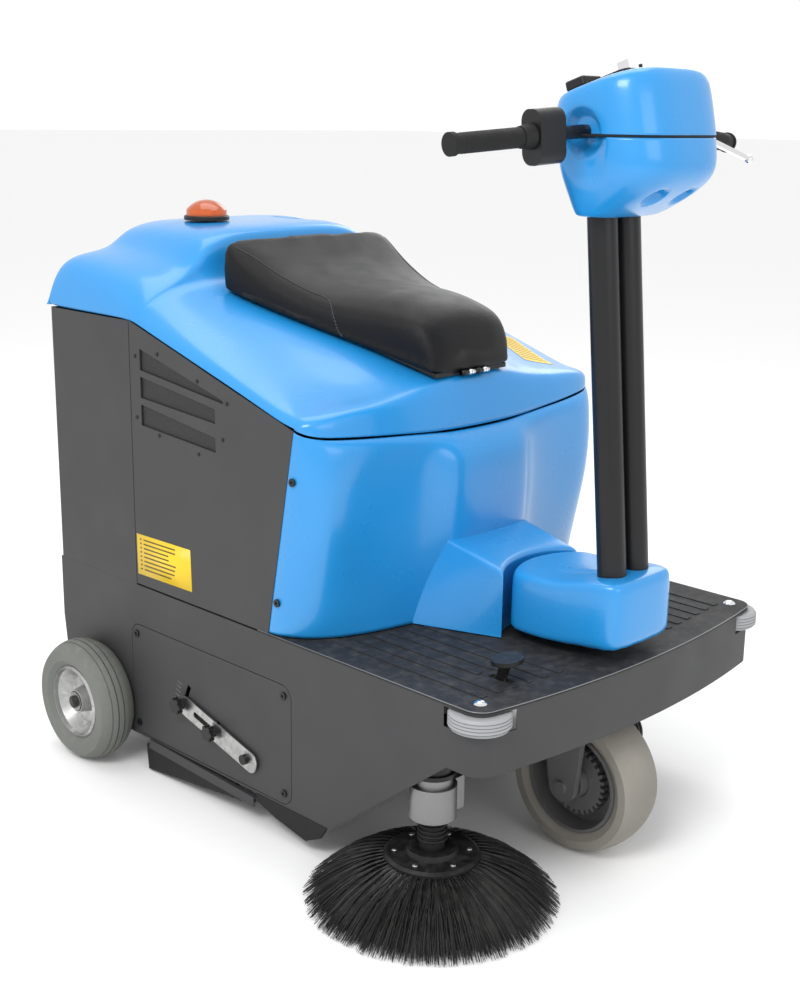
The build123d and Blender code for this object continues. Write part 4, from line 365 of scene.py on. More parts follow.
BLUE = Finish("blue_moulding", (0.014, 0.262, 0.64), 0.30, coat=0.45, scale=320.0, bump=0.05, drift=0.06, dust=0.02)
STEEL_PAINT = Finish("grey_powder_coat", (0.046, 0.046, 0.048), 0.55, shine=0.35, scale=1500.0, bump=0.3,
                     drift=0.08, dust=0.05, edge=0.0014)
DECK = Finish("worn_deck", (0.024, 0.024, 0.025), 0.62, shine=0.25, scale=900.0, bump=0.4, drift=0.15,
              dust=0.10, edge=0.0008)
MESH = Finish("black_mesh", (0.016, 0.016, 0.016), 0.45, pattern=Pattern.MESH, scale=520.0, drift=0.0, dust=0.0)
VINYL = Finish("black_vinyl", (0.006, 0.006, 0.007), 0.34, shine=0.22, pattern=Pattern.LEATHER, scale=430.0,
               bump=0.30, drift=0.05, dust=0.0)
BLACK_PLASTIC = Finish("black_plastic", (0.010, 0.010, 0.011), 0.40, shine=0.35, scale=900.0, bump=0.2, edge=0.0008)
BLACK_PAINT = Finish("black_paint", (0.010, 0.010, 0.011), 0.36, coat=0.08, shine=0.3, scale=800.0,
                     bump=0.25, edge=0.0008)
BLACK_RUBBER = Finish("black_rubber", (0.010, 0.010, 0.010), 0.60, scale=700.0, bump=0.3, dust=0.05, shine=0.3)
GREY_RUBBER = Finish("grey_rubber", (0.19, 0.20, 0.18), 0.72, scale=260.0, bump=0.3, drift=0.45, dust=0.3)
WORN_RUBBER = Finish("worn_rubber", (0.34, 0.32, 0.28), 0.80, scale=180.0, bump=0.4, drift=0.55, dust=0.4)
ROLLER = Finish("pale_roller", (0.36, 0.37, 0.38), 0.55, scale=400.0, bump=0.2, drift=0.3, dust=0.2)
ZINC = Finish("galvanised", (0.55, 0.55, 0.54), 0.36, metallic=1.0, pattern=Pattern.SPANGLE, scale=110.0, drift=0.2,
              dust=0.12, edge=0.0008)
CHROME = Finish("polished_chrome", (0.82, 0.82, 0.83), 0.12, metallic=1.0, scale=300.0, bump=0.02, drift=0.05,
                dust=0.03)
CAST = Finish("cast_grey", (0.22, 0.22, 0.225), 0.50, metallic=0.55, scale=420.0, bump=0.5, drift=0.35, dust=0.2,
              edge=0.0014)
ALLOY = Finish("cast_alloy", (0.30, 0.30, 0.30), 0.42, metallic=0.85, scale=380.0, bump=0.45, drift=0.35, dust=0.2,
               edge=0.0014)
BRISTLE = Finish("bristle", (0.012, 0.012, 0.012), 0.42, scale=900.0, bump=0.1, drift=0.3, dust=0.12)
AMBER = Finish("amber_lens", (1.0, 0.16, 0.010), 0.16, coat=0.5, scale=160.0, bump=0.25, drift=0.15, dust=0.0,
               clear=0.55)
FILTER = Finish("filter_paper", (0.6, 0.56, 0.44), 0.85, scale=500.0, bump=0.3, drift=0.3, dust=0.3)
YELLOW = Finish("yellow_label", (0.86, 0.58, 0.02), 0.42, scale=200.0, bump=0.03, drift=0.08, dust=0.02)
INK = Finish("label_ink", (0.10, 0.075, 0.01), 0.5, scale=200.0, bump=0.03, drift=0.0, dust=0.0)
THREAD = Finish("seam_thread", (0.075, 0.075, 0.08), 0.7, scale=1800.0, bump=0.5, drift=0.1, dust=0.0)
# Pale metallic grey: a painted highlight along the platform's edge line, and also the colour of the engraved setting
# ticks.
EDGE_HIGHLIGHT_AND_TICK_GREY = Finish("edge_highlight_and_ticks", (0.30, 0.30, 0.30), 0.4, metallic=0.6, scale=500.0, bump=0.3, drift=0.4, dust=0.0)

NODE_FINISH: dict[str, Finish] = {
    **dict.fromkeys(("chassis_shell", "right_side_panel", "left_side_panel", "rear_cover", "cover_plates",
                     "hopper", "flap_rails"), STEEL_PAINT),
    "platform_deck": DECK, "vent_grilles": MESH, "beacon_lens": AMBER, "dust_filter": FILTER,
    **dict.fromkeys(("beacon_base", "dash_panel", "display", "horn_button", "throttle_housing", "brush_hub",
                     "upper_knob", "lower_knob", "broom_core", "batteries", "vacuum_fan"), BLACK_PLASTIC),
    **dict.fromkeys(("seat_pan", "column_tubes", "handlebar", "drive_motor", "brush_motor",
                     "broom_arms", "broom_motor", "black_screws", "left_pedal", "right_pedal"), BLACK_PAINT),
    **dict.fromkeys(("throttle_grip", "left_grip", "rubber_flaps"), BLACK_RUBBER),
    **dict.fromkeys(("right_rear_tyre", "left_rear_tyre"), GREY_RUBBER), "front_tyre": WORN_RUBBER,
    **dict.fromkeys(("right_rear_rim", "left_rear_rim", "rear_stub_axles", "height_lever",
                     "brake_bracket"), ZINC),
    **dict.fromkeys(("key", "brake_lever", "dome_bolts"), CHROME),
    **dict.fromkeys(("front_fork", "steering_bearing", "front_rim"), CAST), "brush_arm": ALLOY,
    **dict.fromkeys(("right_roller", "left_roller"), ROLLER),
}


# ---------------------------------------------------------------- mesh helpers
@dataclass
class Piece:
    """A visual piece and how it joins the frame.

    Args:
        name: the object's name.
        body: the CAD body that it rides on.
        finish: its surface finish.
        slot: the record's material slot that it stands for; not used.
        replaces: CAD nodes that it hides.
    """

    name: str
    body: str
    finish: Finish
    slot: str
    replaces: tuple[str, ...] = ()

    def place(self, mesh: bpy.types.Mesh) -> bpy.types.Object:
        """Make the object, give it its finish and hang it on its body."""
        made = bpy.data.objects.new(self.name, mesh)
        bpy.context.scene.collection.objects.link(made)
        mesh.materials.append(self.finish.material())
        for face in mesh.polygons:
            face.use_smooth = True
        LOG.info("%s rides on %s", self.name, self.body)
        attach(made, self.body)
        if self.replaces:
            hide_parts(*self.replaces)
        return made


def mesh_of(name: str, points: Sequence[Vector], faces: Sequence[Sequence[int]]) -> bpy.types.Mesh:
    """A mesh from points and faces, with its normals turned outwards."""
    mesh = bpy.data.meshes.new(name)
    mesh.from_pydata([tuple(p) for p in points], [], [tuple(f) for f in faces])
    work = bmesh.new()
    work.from_mesh(mesh)
    bmesh.ops.remove_doubles(work, verts=work.verts, dist=1e-6)
    bmesh.ops.recalc_face_normals(work, faces=work.faces)
    work.to_mesh(mesh)
    work.free()
    return mesh


def grid_mesh(name: str, rows: Sequence[Row], ring: bool = False, cap_last: bool = False,
              cap_first: bool = False) -> bpy.types.Mesh:
    """A quad grid through rows of points.

    Args:
        name: the mesh's name.
        rows: rows of equal length.
        ring: joins each row's end to its start.
        cap_last: closes the last row with one face.
        cap_first: closes the first row with one face.

    Returns:
        The mesh.
    """
    width = len(rows[0])
    points = [p for row in rows for p in row]
    faces = []
    for r in range(len(rows) - 1):
        for c in range(width if ring else width - 1):
            nxt = (c + 1) % width
            faces.append((r * width + c, r * width + nxt, (r + 1) * width + nxt, (r + 1) * width + c))
    if cap_last:
        faces.append(tuple(range((len(rows) - 1) * width, len(rows) * width)))
    if cap_first:
        faces.append(tuple(reversed(range(width))))
    return mesh_of(name, points, faces)


def mirrored(half: Row) -> Row:
    """A row across the machine, from its half that starts on the centre plane."""
    return [Vector((-p.x, p.y, p.z)) for p in reversed(half[1:])] + list(half)


def add_modifier(piece: bpy.types.Object, kind: str, **settings: object) -> None:
    """Add a modifier with its settings."""
    modifier = piece.modifiers.new(kind.lower(), kind)
    for key, value in settings.items():
        setattr(modifier, key, value)


def bake(piece: bpy.types.Object) -> None:
    """Apply every modifier of a piece to its mesh."""
    depsgraph = bpy.context.evaluated_depsgraph_get()
    done = bpy.data.meshes.new_from_object(piece.evaluated_get(depsgraph))
    piece.modifiers.clear()
    piece.data = done
    for face in done.polygons:
        face.use_smooth = True


def ease(value: float) -> float:
    """A smooth step from 0 to 1."""
    value = min(1.0, max(0.0, value))
    return value * value * (3 - 2 * value)


def dent(piece: bpy.types.Object, centre: Vector, radius: float, push: Vector, ring: float = 0.35) -> None:
    """Press a round dent into a dense mesh.

    Args:
        piece: the object to change.
        centre: middle of the dent.
        radius: its radius.
        push: the depth and direction at the middle.
        ring: share of the radius over which the edge falls away.
    """
    for vertex in piece.data.vertices:
        away = (vertex.co - centre).length / radius
        if away < 1:
            vertex.co += push * ease((1 - away) / ring)


def tube(name: str, path: Sequence[Vector], radius: float, sides: int = 8, closed: bool = False) -> bpy.types.Mesh:
    """A round tube along a path of points."""
    rows = []
    count = len(path)
    for k, point in enumerate(path):
        before = path[k - 1] if k or closed else path[0]
        after = path[(k + 1) % count] if k < count - 1 or closed else path[-1]
        along = (after - before).normalized()
        across = along.cross(Vector((0, 0, 1)) if abs(along.z) < 0.9 else Vector((1, 0, 0))).normalized()
        up = across.cross(along)
        rows.append([
            point + radius * (across * math.cos(a) + up * math.sin(a))
            for a in (2 * math.pi * s / sides for s in range(sides))])
    if closed:
        rows.append(rows[0])
    return grid_mesh(name, rows, ring=True, cap_last=not closed, cap_first=not closed)


def lathe(name: str, profile: Sequence[tuple[float, float]], centre: Vector, axis: Vector,
          sides: int = 48) -> bpy.types.Mesh:
    """A turned piece: (radius, height) points revolved about an axis through the centre."""
    turn = Vector((0, 0, 1)).rotation_difference(axis)
    rows = []
    for radius, height in profile:
        rows.append([
            centre + turn @ Vector((radius * math.cos(a), radius * math.sin(a), height))
            for a in (2 * math.pi * s / sides for s in range(sides))])
    return grid_mesh(name, rows, ring=True, cap_last=True, cap_first=True)


def curve_at(pairs: Sequence[tuple[float, float]], at: float) -> float:
    """Linear look-up through (position, value) pairs in rising order."""
    if at <= pairs[0][0]:
        return pairs[0][1]
    for (a, low), (b, high) in zip(pairs, pairs[1:]):
        if at <= b:
            return low + (high - low) * (at - a) / (b - a)
    return pairs[-1][1]


# ---------------------------------------------------------------- hood
@dataclass
class Hood:
    """The hinged hood: sloping sides, a raised rear box and a lip over the nose.

    Args:
        columns: distances from the centre plane of the cage's columns.
        stations: for each row across the hood, its place along the machine, its heights and how far each
            column stands back from that place.
    """

    columns: tuple[float, ...] = (0.0, 0.110, 0.165, 0.226, 0.262, 0.330, 0.378, 0.399, 0.405)
    stations: tuple[tuple[float, tuple[float, ...], tuple[float, ...]], ...] = (
        (0.641, (0.951,) * 9, (0.0,) * 7 + (0.004, 0.012)),
        (0.641, (1.092, 1.092, 1.090, 1.076, 1.044, 1.036, 1.024, 0.990, 0.958), (0.0,) * 7 + (0.004, 0.012)),
        (0.634, (1.114, 1.114, 1.112, 1.098, 1.062, 1.054, 1.042, 1.002, 0.952), (0.0,) * 7 + (0.004, 0.008)),
        (0.600, (1.120, 1.120, 1.118, 1.104, 1.067, 1.060, 1.050, 1.006, 0.950), (0.0,) * 9),
        (0.470, (1.120, 1.120, 1.118, 1.104, 1.060, 1.046, 1.028, 0.990, 0.950), (0.0,) * 9),
        (0.388, (1.118, 1.118, 1.114, 1.098, 1.047, 1.031, 1.006, 0.975, 0.950), (0.0,) * 9),
        (0.352, (1.112, 1.111, 1.107, 1.088, 1.037, 1.013, 0.988, 0.966, 0.947), (0.0,) * 9),
        (0.340, (1.094, 1.093, 1.088, 1.066, 1.028, 1.006, 0.981, 0.961, 0.944), (0.0,) * 9),
        (0.336, (1.011, 1.011, 1.011, 1.011, 1.008, 0.998, 0.976, 0.957, 0.943), (0.0,) * 9),
        (0.260, (0.990, 0.990, 0.990, 0.989, 0.984, 0.968, 0.948, 0.934, 0.920), (0.0,) * 9),
        (0.120, (0.955, 0.955, 0.954, 0.948, 0.938, 0.919, 0.903, 0.892, 0.879), (0.0,) * 9),
        (-0.011, (0.920, 0.920, 0.917, 0.903, 0.891, 0.875, 0.862, 0.852, 0.8405), (0.0,) * 9),
        (-0.100, (0.889, 0.888, 0.880, 0.864, 0.854, 0.842, 0.833, 0.824, 0.814), (0.0,) * 7 + (0.004, 0.008)),
        (-0.158, (0.874, 0.872, 0.857, 0.847, 0.843, 0.838, 0.831, 0.823, 0.810),
         (0.0, 0.0, 0.0, 0.0, 0.003, 0.008, 0.020, 0.030, 0.038)),
        (-0.178, (0.867, 0.864, 0.848, 0.840, 0.837, 0.832, 0.825, 0.817, 0.808),
         (0.0, 0.0, 0.0, 0.0, 0.003, 0.010, 0.022, 0.038, 0.050)),
        (-0.190, (0.853, 0.850, 0.835, 0.827, 0.824, 0.820, 0.815, 0.811, 0.807),
         (0.0, 0.0, 0.002, 0.004, 0.006, 0.014, 0.026, 0.044, 0.058)),
        (-0.206, (0.7725, 0.774, 0.778, 0.7825, 0.785, 0.790, 0.7935, 0.799, 0.806),
         (0.0, 0.004, 0.008, 0.013, 0.016, 0.026, 0.040, 0.062, 0.080)),
    )
    wall: float = 0.004
    dish: Vector = field(default_factory=lambda: Vector((0.150, 0.480, 1.120)))

    def build(self) -> bpy.types.Object:
        """Make the hood's shell."""
        rows = []
        for along, heights, setback in self.stations:
            rows.append(mirrored([
                Vector((x, along + back, z)) for x, z, back in zip(self.columns, heights, setback)]))
        piece = Piece("hood_shell", "lid", BLUE, "blue_moulding", ("hood",)).place(grid_mesh("hood_shell", rows))
        add_modifier(piece, "SUBSURF", levels=3, render_levels=3, boundary_smooth="PRESERVE_CORNERS")
        bake(piece)
        dent(piece, self.dish, 0.062, Vector((0.0, 0.0, -0.009)), 0.3)
        add_modifier(piece, "SOLIDIFY", thickness=self.wall, offset=-1.0)
        bake(piece)
        return piece


# ---------------------------------------------------------------- front body
@dataclass
class FrontBody:
    """The curved body below the hood, with the tunnel that meets the steering cover.

    Args:
        columns: distances from the centre plane of the cage's columns.
        levels: for each row from the seam down, its heights and its places along the machine.
    """

    columns: tuple[float, ...] = (0.0, 0.085, 0.112, 0.152, 0.250, 0.330, 0.374, 0.398, 0.4065, 0.407)
    levels: tuple[tuple[tuple[float, ...], tuple[float, ...]], ...] = (
        ((0.768, 0.769, 0.771, 0.774, 0.780, 0.7855, 0.789, 0.794, 0.799, 0.802),
         (-0.204, -0.202, -0.199, -0.196, -0.191, -0.180, -0.167, -0.148, -0.132, -0.127)),
        ((0.761, 0.761, 0.763, 0.767, 0.774, 0.779, 0.782, 0.786, 0.790, 0.792),
         (-0.222, -0.220, -0.212, -0.206, -0.200, -0.191, -0.175, -0.151, -0.133, -0.125)),
        ((0.736, 0.736, 0.738, 0.748, 0.757, 0.760, 0.762, 0.764, 0.766, 0.768),
         (-0.243, -0.241, -0.228, -0.208, -0.202, -0.197, -0.182, -0.155, -0.132, -0.120)),
        ((0.700,) * 10,
         (-0.250, -0.248, -0.236, -0.205, -0.195, -0.197, -0.189, -0.157, -0.130, -0.108)),
        ((0.620,) * 10,
         (-0.248, -0.246, -0.236, -0.204, -0.188, -0.190, -0.185, -0.150, -0.121, -0.093)),
        ((0.540,) * 10,
         (-0.240, -0.238, -0.228, -0.202, -0.184, -0.178, -0.167, -0.133, -0.104, -0.078)),
        ((0.462,) * 10,
         (-0.232, -0.230, -0.220, -0.204, -0.188, -0.170, -0.148, -0.114, -0.086, -0.064)),
        ((0.4115,) * 10,
         (-0.224, -0.222, -0.213, -0.206, -0.192, -0.166, -0.136, -0.100, -0.074, -0.0555)),
    )
    nest: Vector = field(default_factory=lambda: Vector((0.0, -0.492, 0.0)))
    nest_radius: float = 0.165
    floor: float = 0.4115

    def build(self) -> None:
        """Make the body's shell and its tunnel."""
        rows = []
        for heights, places in self.levels:
            rows.append(mirrored([
                Vector((x, y, z)) for x, y, z in zip(self.columns, places, heights)]))
        piece = Piece("front_shell", "chassis", BLUE, "blue_moulding", ("front_body",))
        shell = piece.place(grid_mesh("front_shell", rows))
        add_modifier(shell, "SUBSURF", levels=3, render_levels=3, boundary_smooth="PRESERVE_CORNERS")
        add_modifier(shell, "SOLIDIFY", thickness=0.004, offset=-1.0)
        bake(shell)
        self.tunnel()

    def arc(self, x: float) -> float:
        """Front end of the tunnel at x, on the nest's circle."""
        return self.nest.y + math.sqrt(self.nest_radius ** 2 - x * x)

    def tunnel(self) -> None:
        """The raised tunnel between the body and the steering cover."""
        rows = []
        for share in (0.0, 0.3, 0.6, 0.9, 0.97, 1.0):
            top = 0.112 - 0.003 * share
            foot = 0.178 - 0.066 * share
            crown = 0.580 - 0.040 * share - (0.006 if share > 0.98 else 0.0)
            half = [(0.0, crown + 0.003), (top * 0.6, crown + 0.002), (top - 0.010, crown), (top, crown - 0.004),
                    (top + 0.003, crown - 0.014), ((top + foot) / 2 + 0.002, (crown + self.floor) / 2),
                    (foot, self.floor + 0.006), (foot + 0.001, self.floor)]
            row = []
            for x, z in half:
                front = self.arc(min(x, 0.112))
                row.append(Vector((x, -0.195 + (front + 0.195) * share, z)))
            rows.append(mirrored(row))
        end = rows[-1]
        for share in (0.06, 0.5, 1.0):
            rows.append([
                Vector((p.x * (1 - 0.01 * share), self.arc(min(abs(p.x) * (1 - 0.01 * share), 0.112)) + 0.003,
                        p.z + (self.floor - p.z) * share)) for p in end])
        piece = Piece("front_tunnel", "chassis", BLUE, "blue_moulding", ("front_body",))
        made = piece.place(grid_mesh("front_tunnel", rows))
        add_modifier(made, "SUBSURF", levels=3, render_levels=3, boundary_smooth="PRESERVE_CORNERS")
        bake(made)


# ---------------------------------------------------------------- steering cover and head
def rounded_ring(points: Sequence[tuple[float, float]], height: Callable[[float, float], float]) -> Row:
    """A closed ring through plan points, each at the height given for it."""
    return [Vector((x, y, height(x, y))) for x, y in points]


@dataclass
class SteeringCover:
    """The blue cover at the foot of the column: round behind, with a raised foot for the tubes in front."""

    low: float = 0.4245
    shoulder: float = 0.541
    foot_top: float = 0.5595
    step_at: float = -0.500

    def outline(self, inset: float) -> list[tuple[float, float]]:
        """Plan of the cover, drawn in by an inset."""
        centre_y, radius = -0.492, 0.150 - inset
        points = []
        for k in range(11):
            angle = math.radians(136 - 92 * k / 10)
            points.append((radius * math.cos(angle), centre_y + radius * math.sin(angle)))
        right = [(0.107 - inset, -0.462), (0.102 - inset, -0.510), (0.096 - inset, -0.560),
                 (0.089 - inset, -0.592 + inset * 0.3), (0.078 - inset * 0.7, -0.606 + inset), (0.045, -0.6105 + inset)]
        return points + right + [(0.0, -0.6115 + inset)] + [(-x, y) for x, y in reversed(right)]

    def top(self, y: float) -> float:
        """Height of the top at a place along the machine."""
        return self.shoulder + (self.foot_top - self.shoulder) * ease((self.step_at - y) / 0.022)

    def build(self) -> None:
        """Make the cover."""
        rows = []
        for inset, drop in ((0.001, None), (0.0, 0.105), (0.0, 0.060), (0.0005, 0.018), (0.003, 0.006), (0.010, 0.0),
                            (0.030, -0.001), (0.060, -0.002)):
            if drop is None:
                rows.append(rounded_ring(self.outline(inset), lambda x, y: self.low))
            else:
                rows.append(rounded_ring(self.outline(inset), lambda x, y, d=drop: self.top(y) - d))
        middle = Vector((0.0, -0.52, 0.0))
        rows.append([Vector((p.x * 0.3, middle.y + (p.y - middle.y) * 0.3, self.top(p.y * 0.3 + middle.y * 0.7) + 0.002))
                     for p in rows[-1]])
        piece = Piece("steering_cover", "steering", BLUE, "blue_moulding", ("column_cover",))
        made = piece.place(grid_mesh("steering_cover", rows, ring=True, cap_last=True, cap_first=True))
        add_modifier(made, "SUBSURF", levels=2, render_levels=2)
        bake(made)


@dataclass
class Head:
    """The two half shells at the top of the column.

    Args:
        levels: height, half width, front and back of each ring.
        seam: height of the split between the halves; not used.
        tilt: slope of the open top; not used.
    """

    levels: tuple[tuple[float, float, float, float], ...] = (
        (1.1805, 0.078, -0.532, -0.462), (1.184, 0.088, -0.548, -0.456), (1.215, 0.106, -0.608, -0.444),
        (1.250, 0.123, -0.650, -0.431), (1.282, 0.1275, -0.651, -0.425), (1.313, 0.128, -0.645, -0.4215))
    upper: tuple[tuple[float, float, float, float], ...] = (
        (1.3175, 0.128, -0.6435, -0.4215), (1.350, 0.1278, -0.637, -0.4215), (1.380, 0.1270, -0.630, -0.4218),
        (1.404, 0.1255, -0.624, -0.4222), (1.418, 0.1215, -0.616, -0.4250), (1.424, 0.1140, -0.606, -0.4310),
        (1.424, 0.1040, -0.592, -0.4400), (1.414, 0.0960, -0.582, -0.4460))
    count: int = 48

    def ring(self, height: float, half: float, front: float, back: float, slope: float, power: float = 3.4) -> Row:
        """A rounded-rectangle ring, tipped so that its back is lower."""
        middle, deep = (front + back) / 2, (back - front) / 2
        row = []
        for k in range(self.count):
            angle = 2 * math.pi * k / self.count
            c, s = math.cos(angle), math.sin(angle)
            size = (abs(c) ** power + abs(s) ** power) ** (-1 / power)
            x, y = half * size * c, middle + deep * size * s
            row.append(Vector((x, y, height - slope * (y - front) / (back - front))))
        return row

    def build(self) -> None:
        """Make both halves."""
        low = [self.ring(z, w, f, b, 0.0, 3.0) for z, w, f, b in self.levels]
        piece = Piece("head_bottom", "steering", BLUE, "blue_moulding", ("head_lower",))
        made = piece.place(grid_mesh("head_bottom", low, ring=True, cap_first=True))
        add_modifier(made, "SUBSURF", levels=3, render_levels=3)
        bake(made)
        for side in (-1, 1):
            dent(made, Vector((side * 0.040, -0.606, 1.216)), 0.024, Vector((0.0, 0.010, 0.010)), 0.5)
        for side in (-1, 1):
            self.arch(made, side)
            dent(made, Vector((side * 0.134, -0.512, 1.318)), 0.046, Vector((-side * 0.022, 0.0, 0.0)), 0.45)
        add_modifier(made, "SOLIDIFY", thickness=0.0035, offset=-1.0)
        bake(made)
        high = []
        for z, w, f, b in self.upper:
            slope = 0.051 * ease((z - 1.3175) / 0.08)
            high.append(self.ring(z, w, f, b, slope, 3.2))
        piece = Piece("head_top", "steering", BLUE, "blue_moulding", ("head_upper",))
        made = piece.place(grid_mesh("head_top", high, ring=True))
        add_modifier(made, "SUBSURF", levels=3, render_levels=3)
        bake(made)
        for side in (-1, 1):
            dent(made, Vector((side * 0.134, -0.512, 1.318)), 0.046, Vector((-side * 0.022, 0.0, 0.0)), 0.45)
        add_modifier(made, "SOLIDIFY", thickness=0.003, offset=-1.0)
        bake(made)
        seam = self.ring(1.3152, 0.1265, -0.642, -0.423, 0.0, 3.0)
        Piece("head_gasket", "steering", BLACK_RUBBER, "black_rubber").place(
            tube("head_gasket", seam, 0.0022, 6, closed=True))

    def arch(self, shell: bpy.types.Object, side: int) -> None:
        """Scoop the side of the lower half below the bar."""
        for vertex in shell.data.vertices:
            p = vertex.co
            if p.x * side < 0.05 or p.z > 1.3135:
                continue
            across = (p.y + 0.515) / 0.055
            down = (1.313 - p.z) / 0.085
            amount = ease(1 - across * across) * ease(1 - down)
            p.x -= side * 0.016 * amount


# ---------------------------------------------------------------- seat
@dataclass
class Seat:
    """The vinyl saddle: a raised back, a hump and a blunt front, in a panelled cover.

    Args:
        stations: place along the machine, underside height, crown height, half width and edge height share.
    """

    stations: tuple[tuple[float, float, float, float, float], ...] = (
        (-0.186, 0.872, 0.892, 0.112, 0.90), (-0.174, 0.875, 0.942, 0.116, 0.90), (-0.150, 0.881, 0.980, 0.122, 0.86),
        (-0.110, 0.891, 0.997, 0.133, 0.80), (-0.060, 0.905, 1.008, 0.148, 0.74), (-0.006, 0.919, 1.012, 0.166, 0.70),
        (0.060, 0.936, 1.010, 0.186, 0.76), (0.130, 0.955, 1.020, 0.206, 0.90), (0.200, 0.973, 1.048, 0.222, 0.98),
        (0.250, 0.986, 1.082, 0.231, 0.98), (0.286, 0.996, 1.108, 0.234, 0.96), (0.298, 1.002, 1.104, 0.228, 0.94))
    cap: float = 0.005

    def rows(self, shrink: float = 0.0) -> list[Row]:
        """Rings across the saddle, from its front to its back."""
        rings = []
        for y, low, high, half, share in self.stations:
            edge = low + (high - low) * share
            half -= shrink
            top = [(0.0, high), (half * 0.35, high - 0.001), (half * 0.66, (high * 0.6 + edge * 0.4)),
                   (half * 0.88, edge - 0.001), (half * 0.97, edge - 0.010), (half, low + (edge - low) * 0.55),
                   (half * 0.995, low + 0.010), (half * 0.97, low + 0.002), (half * 0.6, low + 0.0015),
                   (0.0, low + 0.0015)]
            side = [Vector((x, y, z)) for x, z in top]
            rings.append(side + [Vector((-p.x, p.y, p.z)) for p in reversed(side[1:-1])])
        return rings

    def build(self) -> None:
        """Make the cushion, then its seams."""
        piece = Piece("saddle", "seat", VINYL, "black_vinyl", ("seat_cushion",))
        made = piece.place(grid_mesh("saddle", self.rows(0.002), ring=True, cap_last=True, cap_first=True))
        add_modifier(made, "SUBSURF", levels=3, render_levels=3)
        bake(made)
        self.inflate(made)
        self.stitching(made)

    def inflate(self, made: bpy.types.Object) -> None:
        """Swell the cover by a short cloth simulation, holding each point near its pattern."""
        add_modifier(made, "REMESH", mode="VOXEL", voxel_size=0.006, use_smooth_shade=True)
        bake(made)
        start = [v.co.copy() for v in made.data.vertices]
        cloth = made.modifiers.new("cloth", "CLOTH")
        cloth.settings.use_pressure = True
        cloth.settings.uniform_pressure_force = 4.0
        cloth.settings.effector_weights.gravity = 0.0
        cloth.settings.quality = 5
        scene = bpy.context.scene
        for frame in range(1, 16):
            scene.frame_set(frame)
        bake(made)
        for vertex, rest in zip(made.data.vertices, start):
            move = vertex.co - rest
            if move.length > self.cap:
                move *= self.cap / move.length
            if rest.z < self.underside(rest.y) + 0.014:
                move *= 0.0
            vertex.co = rest + move
        scene.frame_set(1)
        add_modifier(made, "SMOOTH", factor=0.5, iterations=4)
        add_modifier(made, "SUBSURF", levels=1, render_levels=1)
        bake(made)

    def underside(self, y: float) -> float:
        """Height of the cushion's underside."""
        return curve_at([(s[0], s[1]) for s in self.stations], y)

    def stitching(self, made: bpy.types.Object) -> None:
        """Lay double seams over each flank."""
        tree = BVHTree.FromObject(made, bpy.context.evaluated_depsgraph_get())
        for side in (-1, 1):
            for shift in (0.0, 0.006):
                route = []
                for k in range(34):
                    share = k / 33
                    y = 0.272 - 0.262 * share
                    x = side * (0.208 - 0.052 * share - shift * 0.5)
                    drop = ease((share - 0.80) / 0.20)
                    hit = tree.find_nearest(Vector((
                        x + side * 0.02 * drop, y - 0.008 * drop, self.underside(y) + 0.095 - 0.085 * drop - shift)))
                    route.append(hit[0] + hit[1] * 0.0006)
                self.stitches(f"seam_{'right' if side < 0 else 'left'}_{int(shift * 1000)}", route)

    def stitches(self, name: str, route: Sequence[Vector]) -> None:
        """Short threads along a route."""
        verts: list[Vector] = []
        faces: list[tuple[int, ...]] = []
        for a, b in zip(route, route[1:]):
            steps = max(1, int((b - a).length / 0.0055))
            for k in range(steps):
                start, stop = a.lerp(b, k / steps), a.lerp(b, (k + 0.68) / steps)
                along = (stop - start).normalized()
                across = along.cross(Vector((0, 0, 1))).normalized() * 0.0007
                up = across.cross(along).normalized() * 0.0007
                base = len(verts)
                for end in (start, stop):
                    verts += [end + across, end + up, end - across, end - up]
                faces += [(base + i, base + (i + 1) % 4, base + 4 + (i + 1) % 4, base + 4 + i) for i in range(4)]
                faces += [(base, base + 3, base + 2, base + 1), (base + 4, base + 5, base + 6, base + 7)]
        Piece(name, "seat", THREAD, "black_vinyl").place(mesh_of(name, verts, faces))


# ---------------------------------------------------------------- brushes
@dataclass
class BristleField:
    """Gathers thin tapering bristles into one mesh.

    Args:
        seed: seed of the small random variations.
    """

    seed: int
    verts: list[Vector] = field(default_factory=list)
    faces: list[tuple[int, ...]] = field(default_factory=list)

    def __post_init__(self) -> None:
        """Start the seeded random numbers."""
        self.random = random.Random(self.seed)

    def bristle(self, path: Sequence[Vector], radius: float) -> None:
        """Add one three-sided bristle along a short path."""
        base = len(self.verts)
        along = (path[-1] - path[0]).normalized()
        across = along.cross(Vector((0.3, 0.2, 1.0))).normalized()
        other = along.cross(across)
        for k, point in enumerate(path):
            size = radius * (1 - 0.35 * k / (len(path) - 1))
            for s in range(3):
                angle = 2 * math.pi * s / 3
                self.verts.append(point + size * (across * math.cos(angle) + other * math.sin(angle)))
        for k in range(len(path) - 1):
            for s in range(3):
                a, b = base + 3 * k + s, base + 3 * k + (s + 1) % 3
                self.faces.append((a, b, b + 3, a + 3))
        last = base + 3 * (len(path) - 1)
        self.faces.append((last, last + 1, last + 2))

    def mesh(self, name: str) -> bpy.types.Mesh:
        """The gathered mesh."""
        made = bpy.data.meshes.new(name)
        made.from_pydata([tuple(v) for v in self.verts], [], self.faces)
        return made


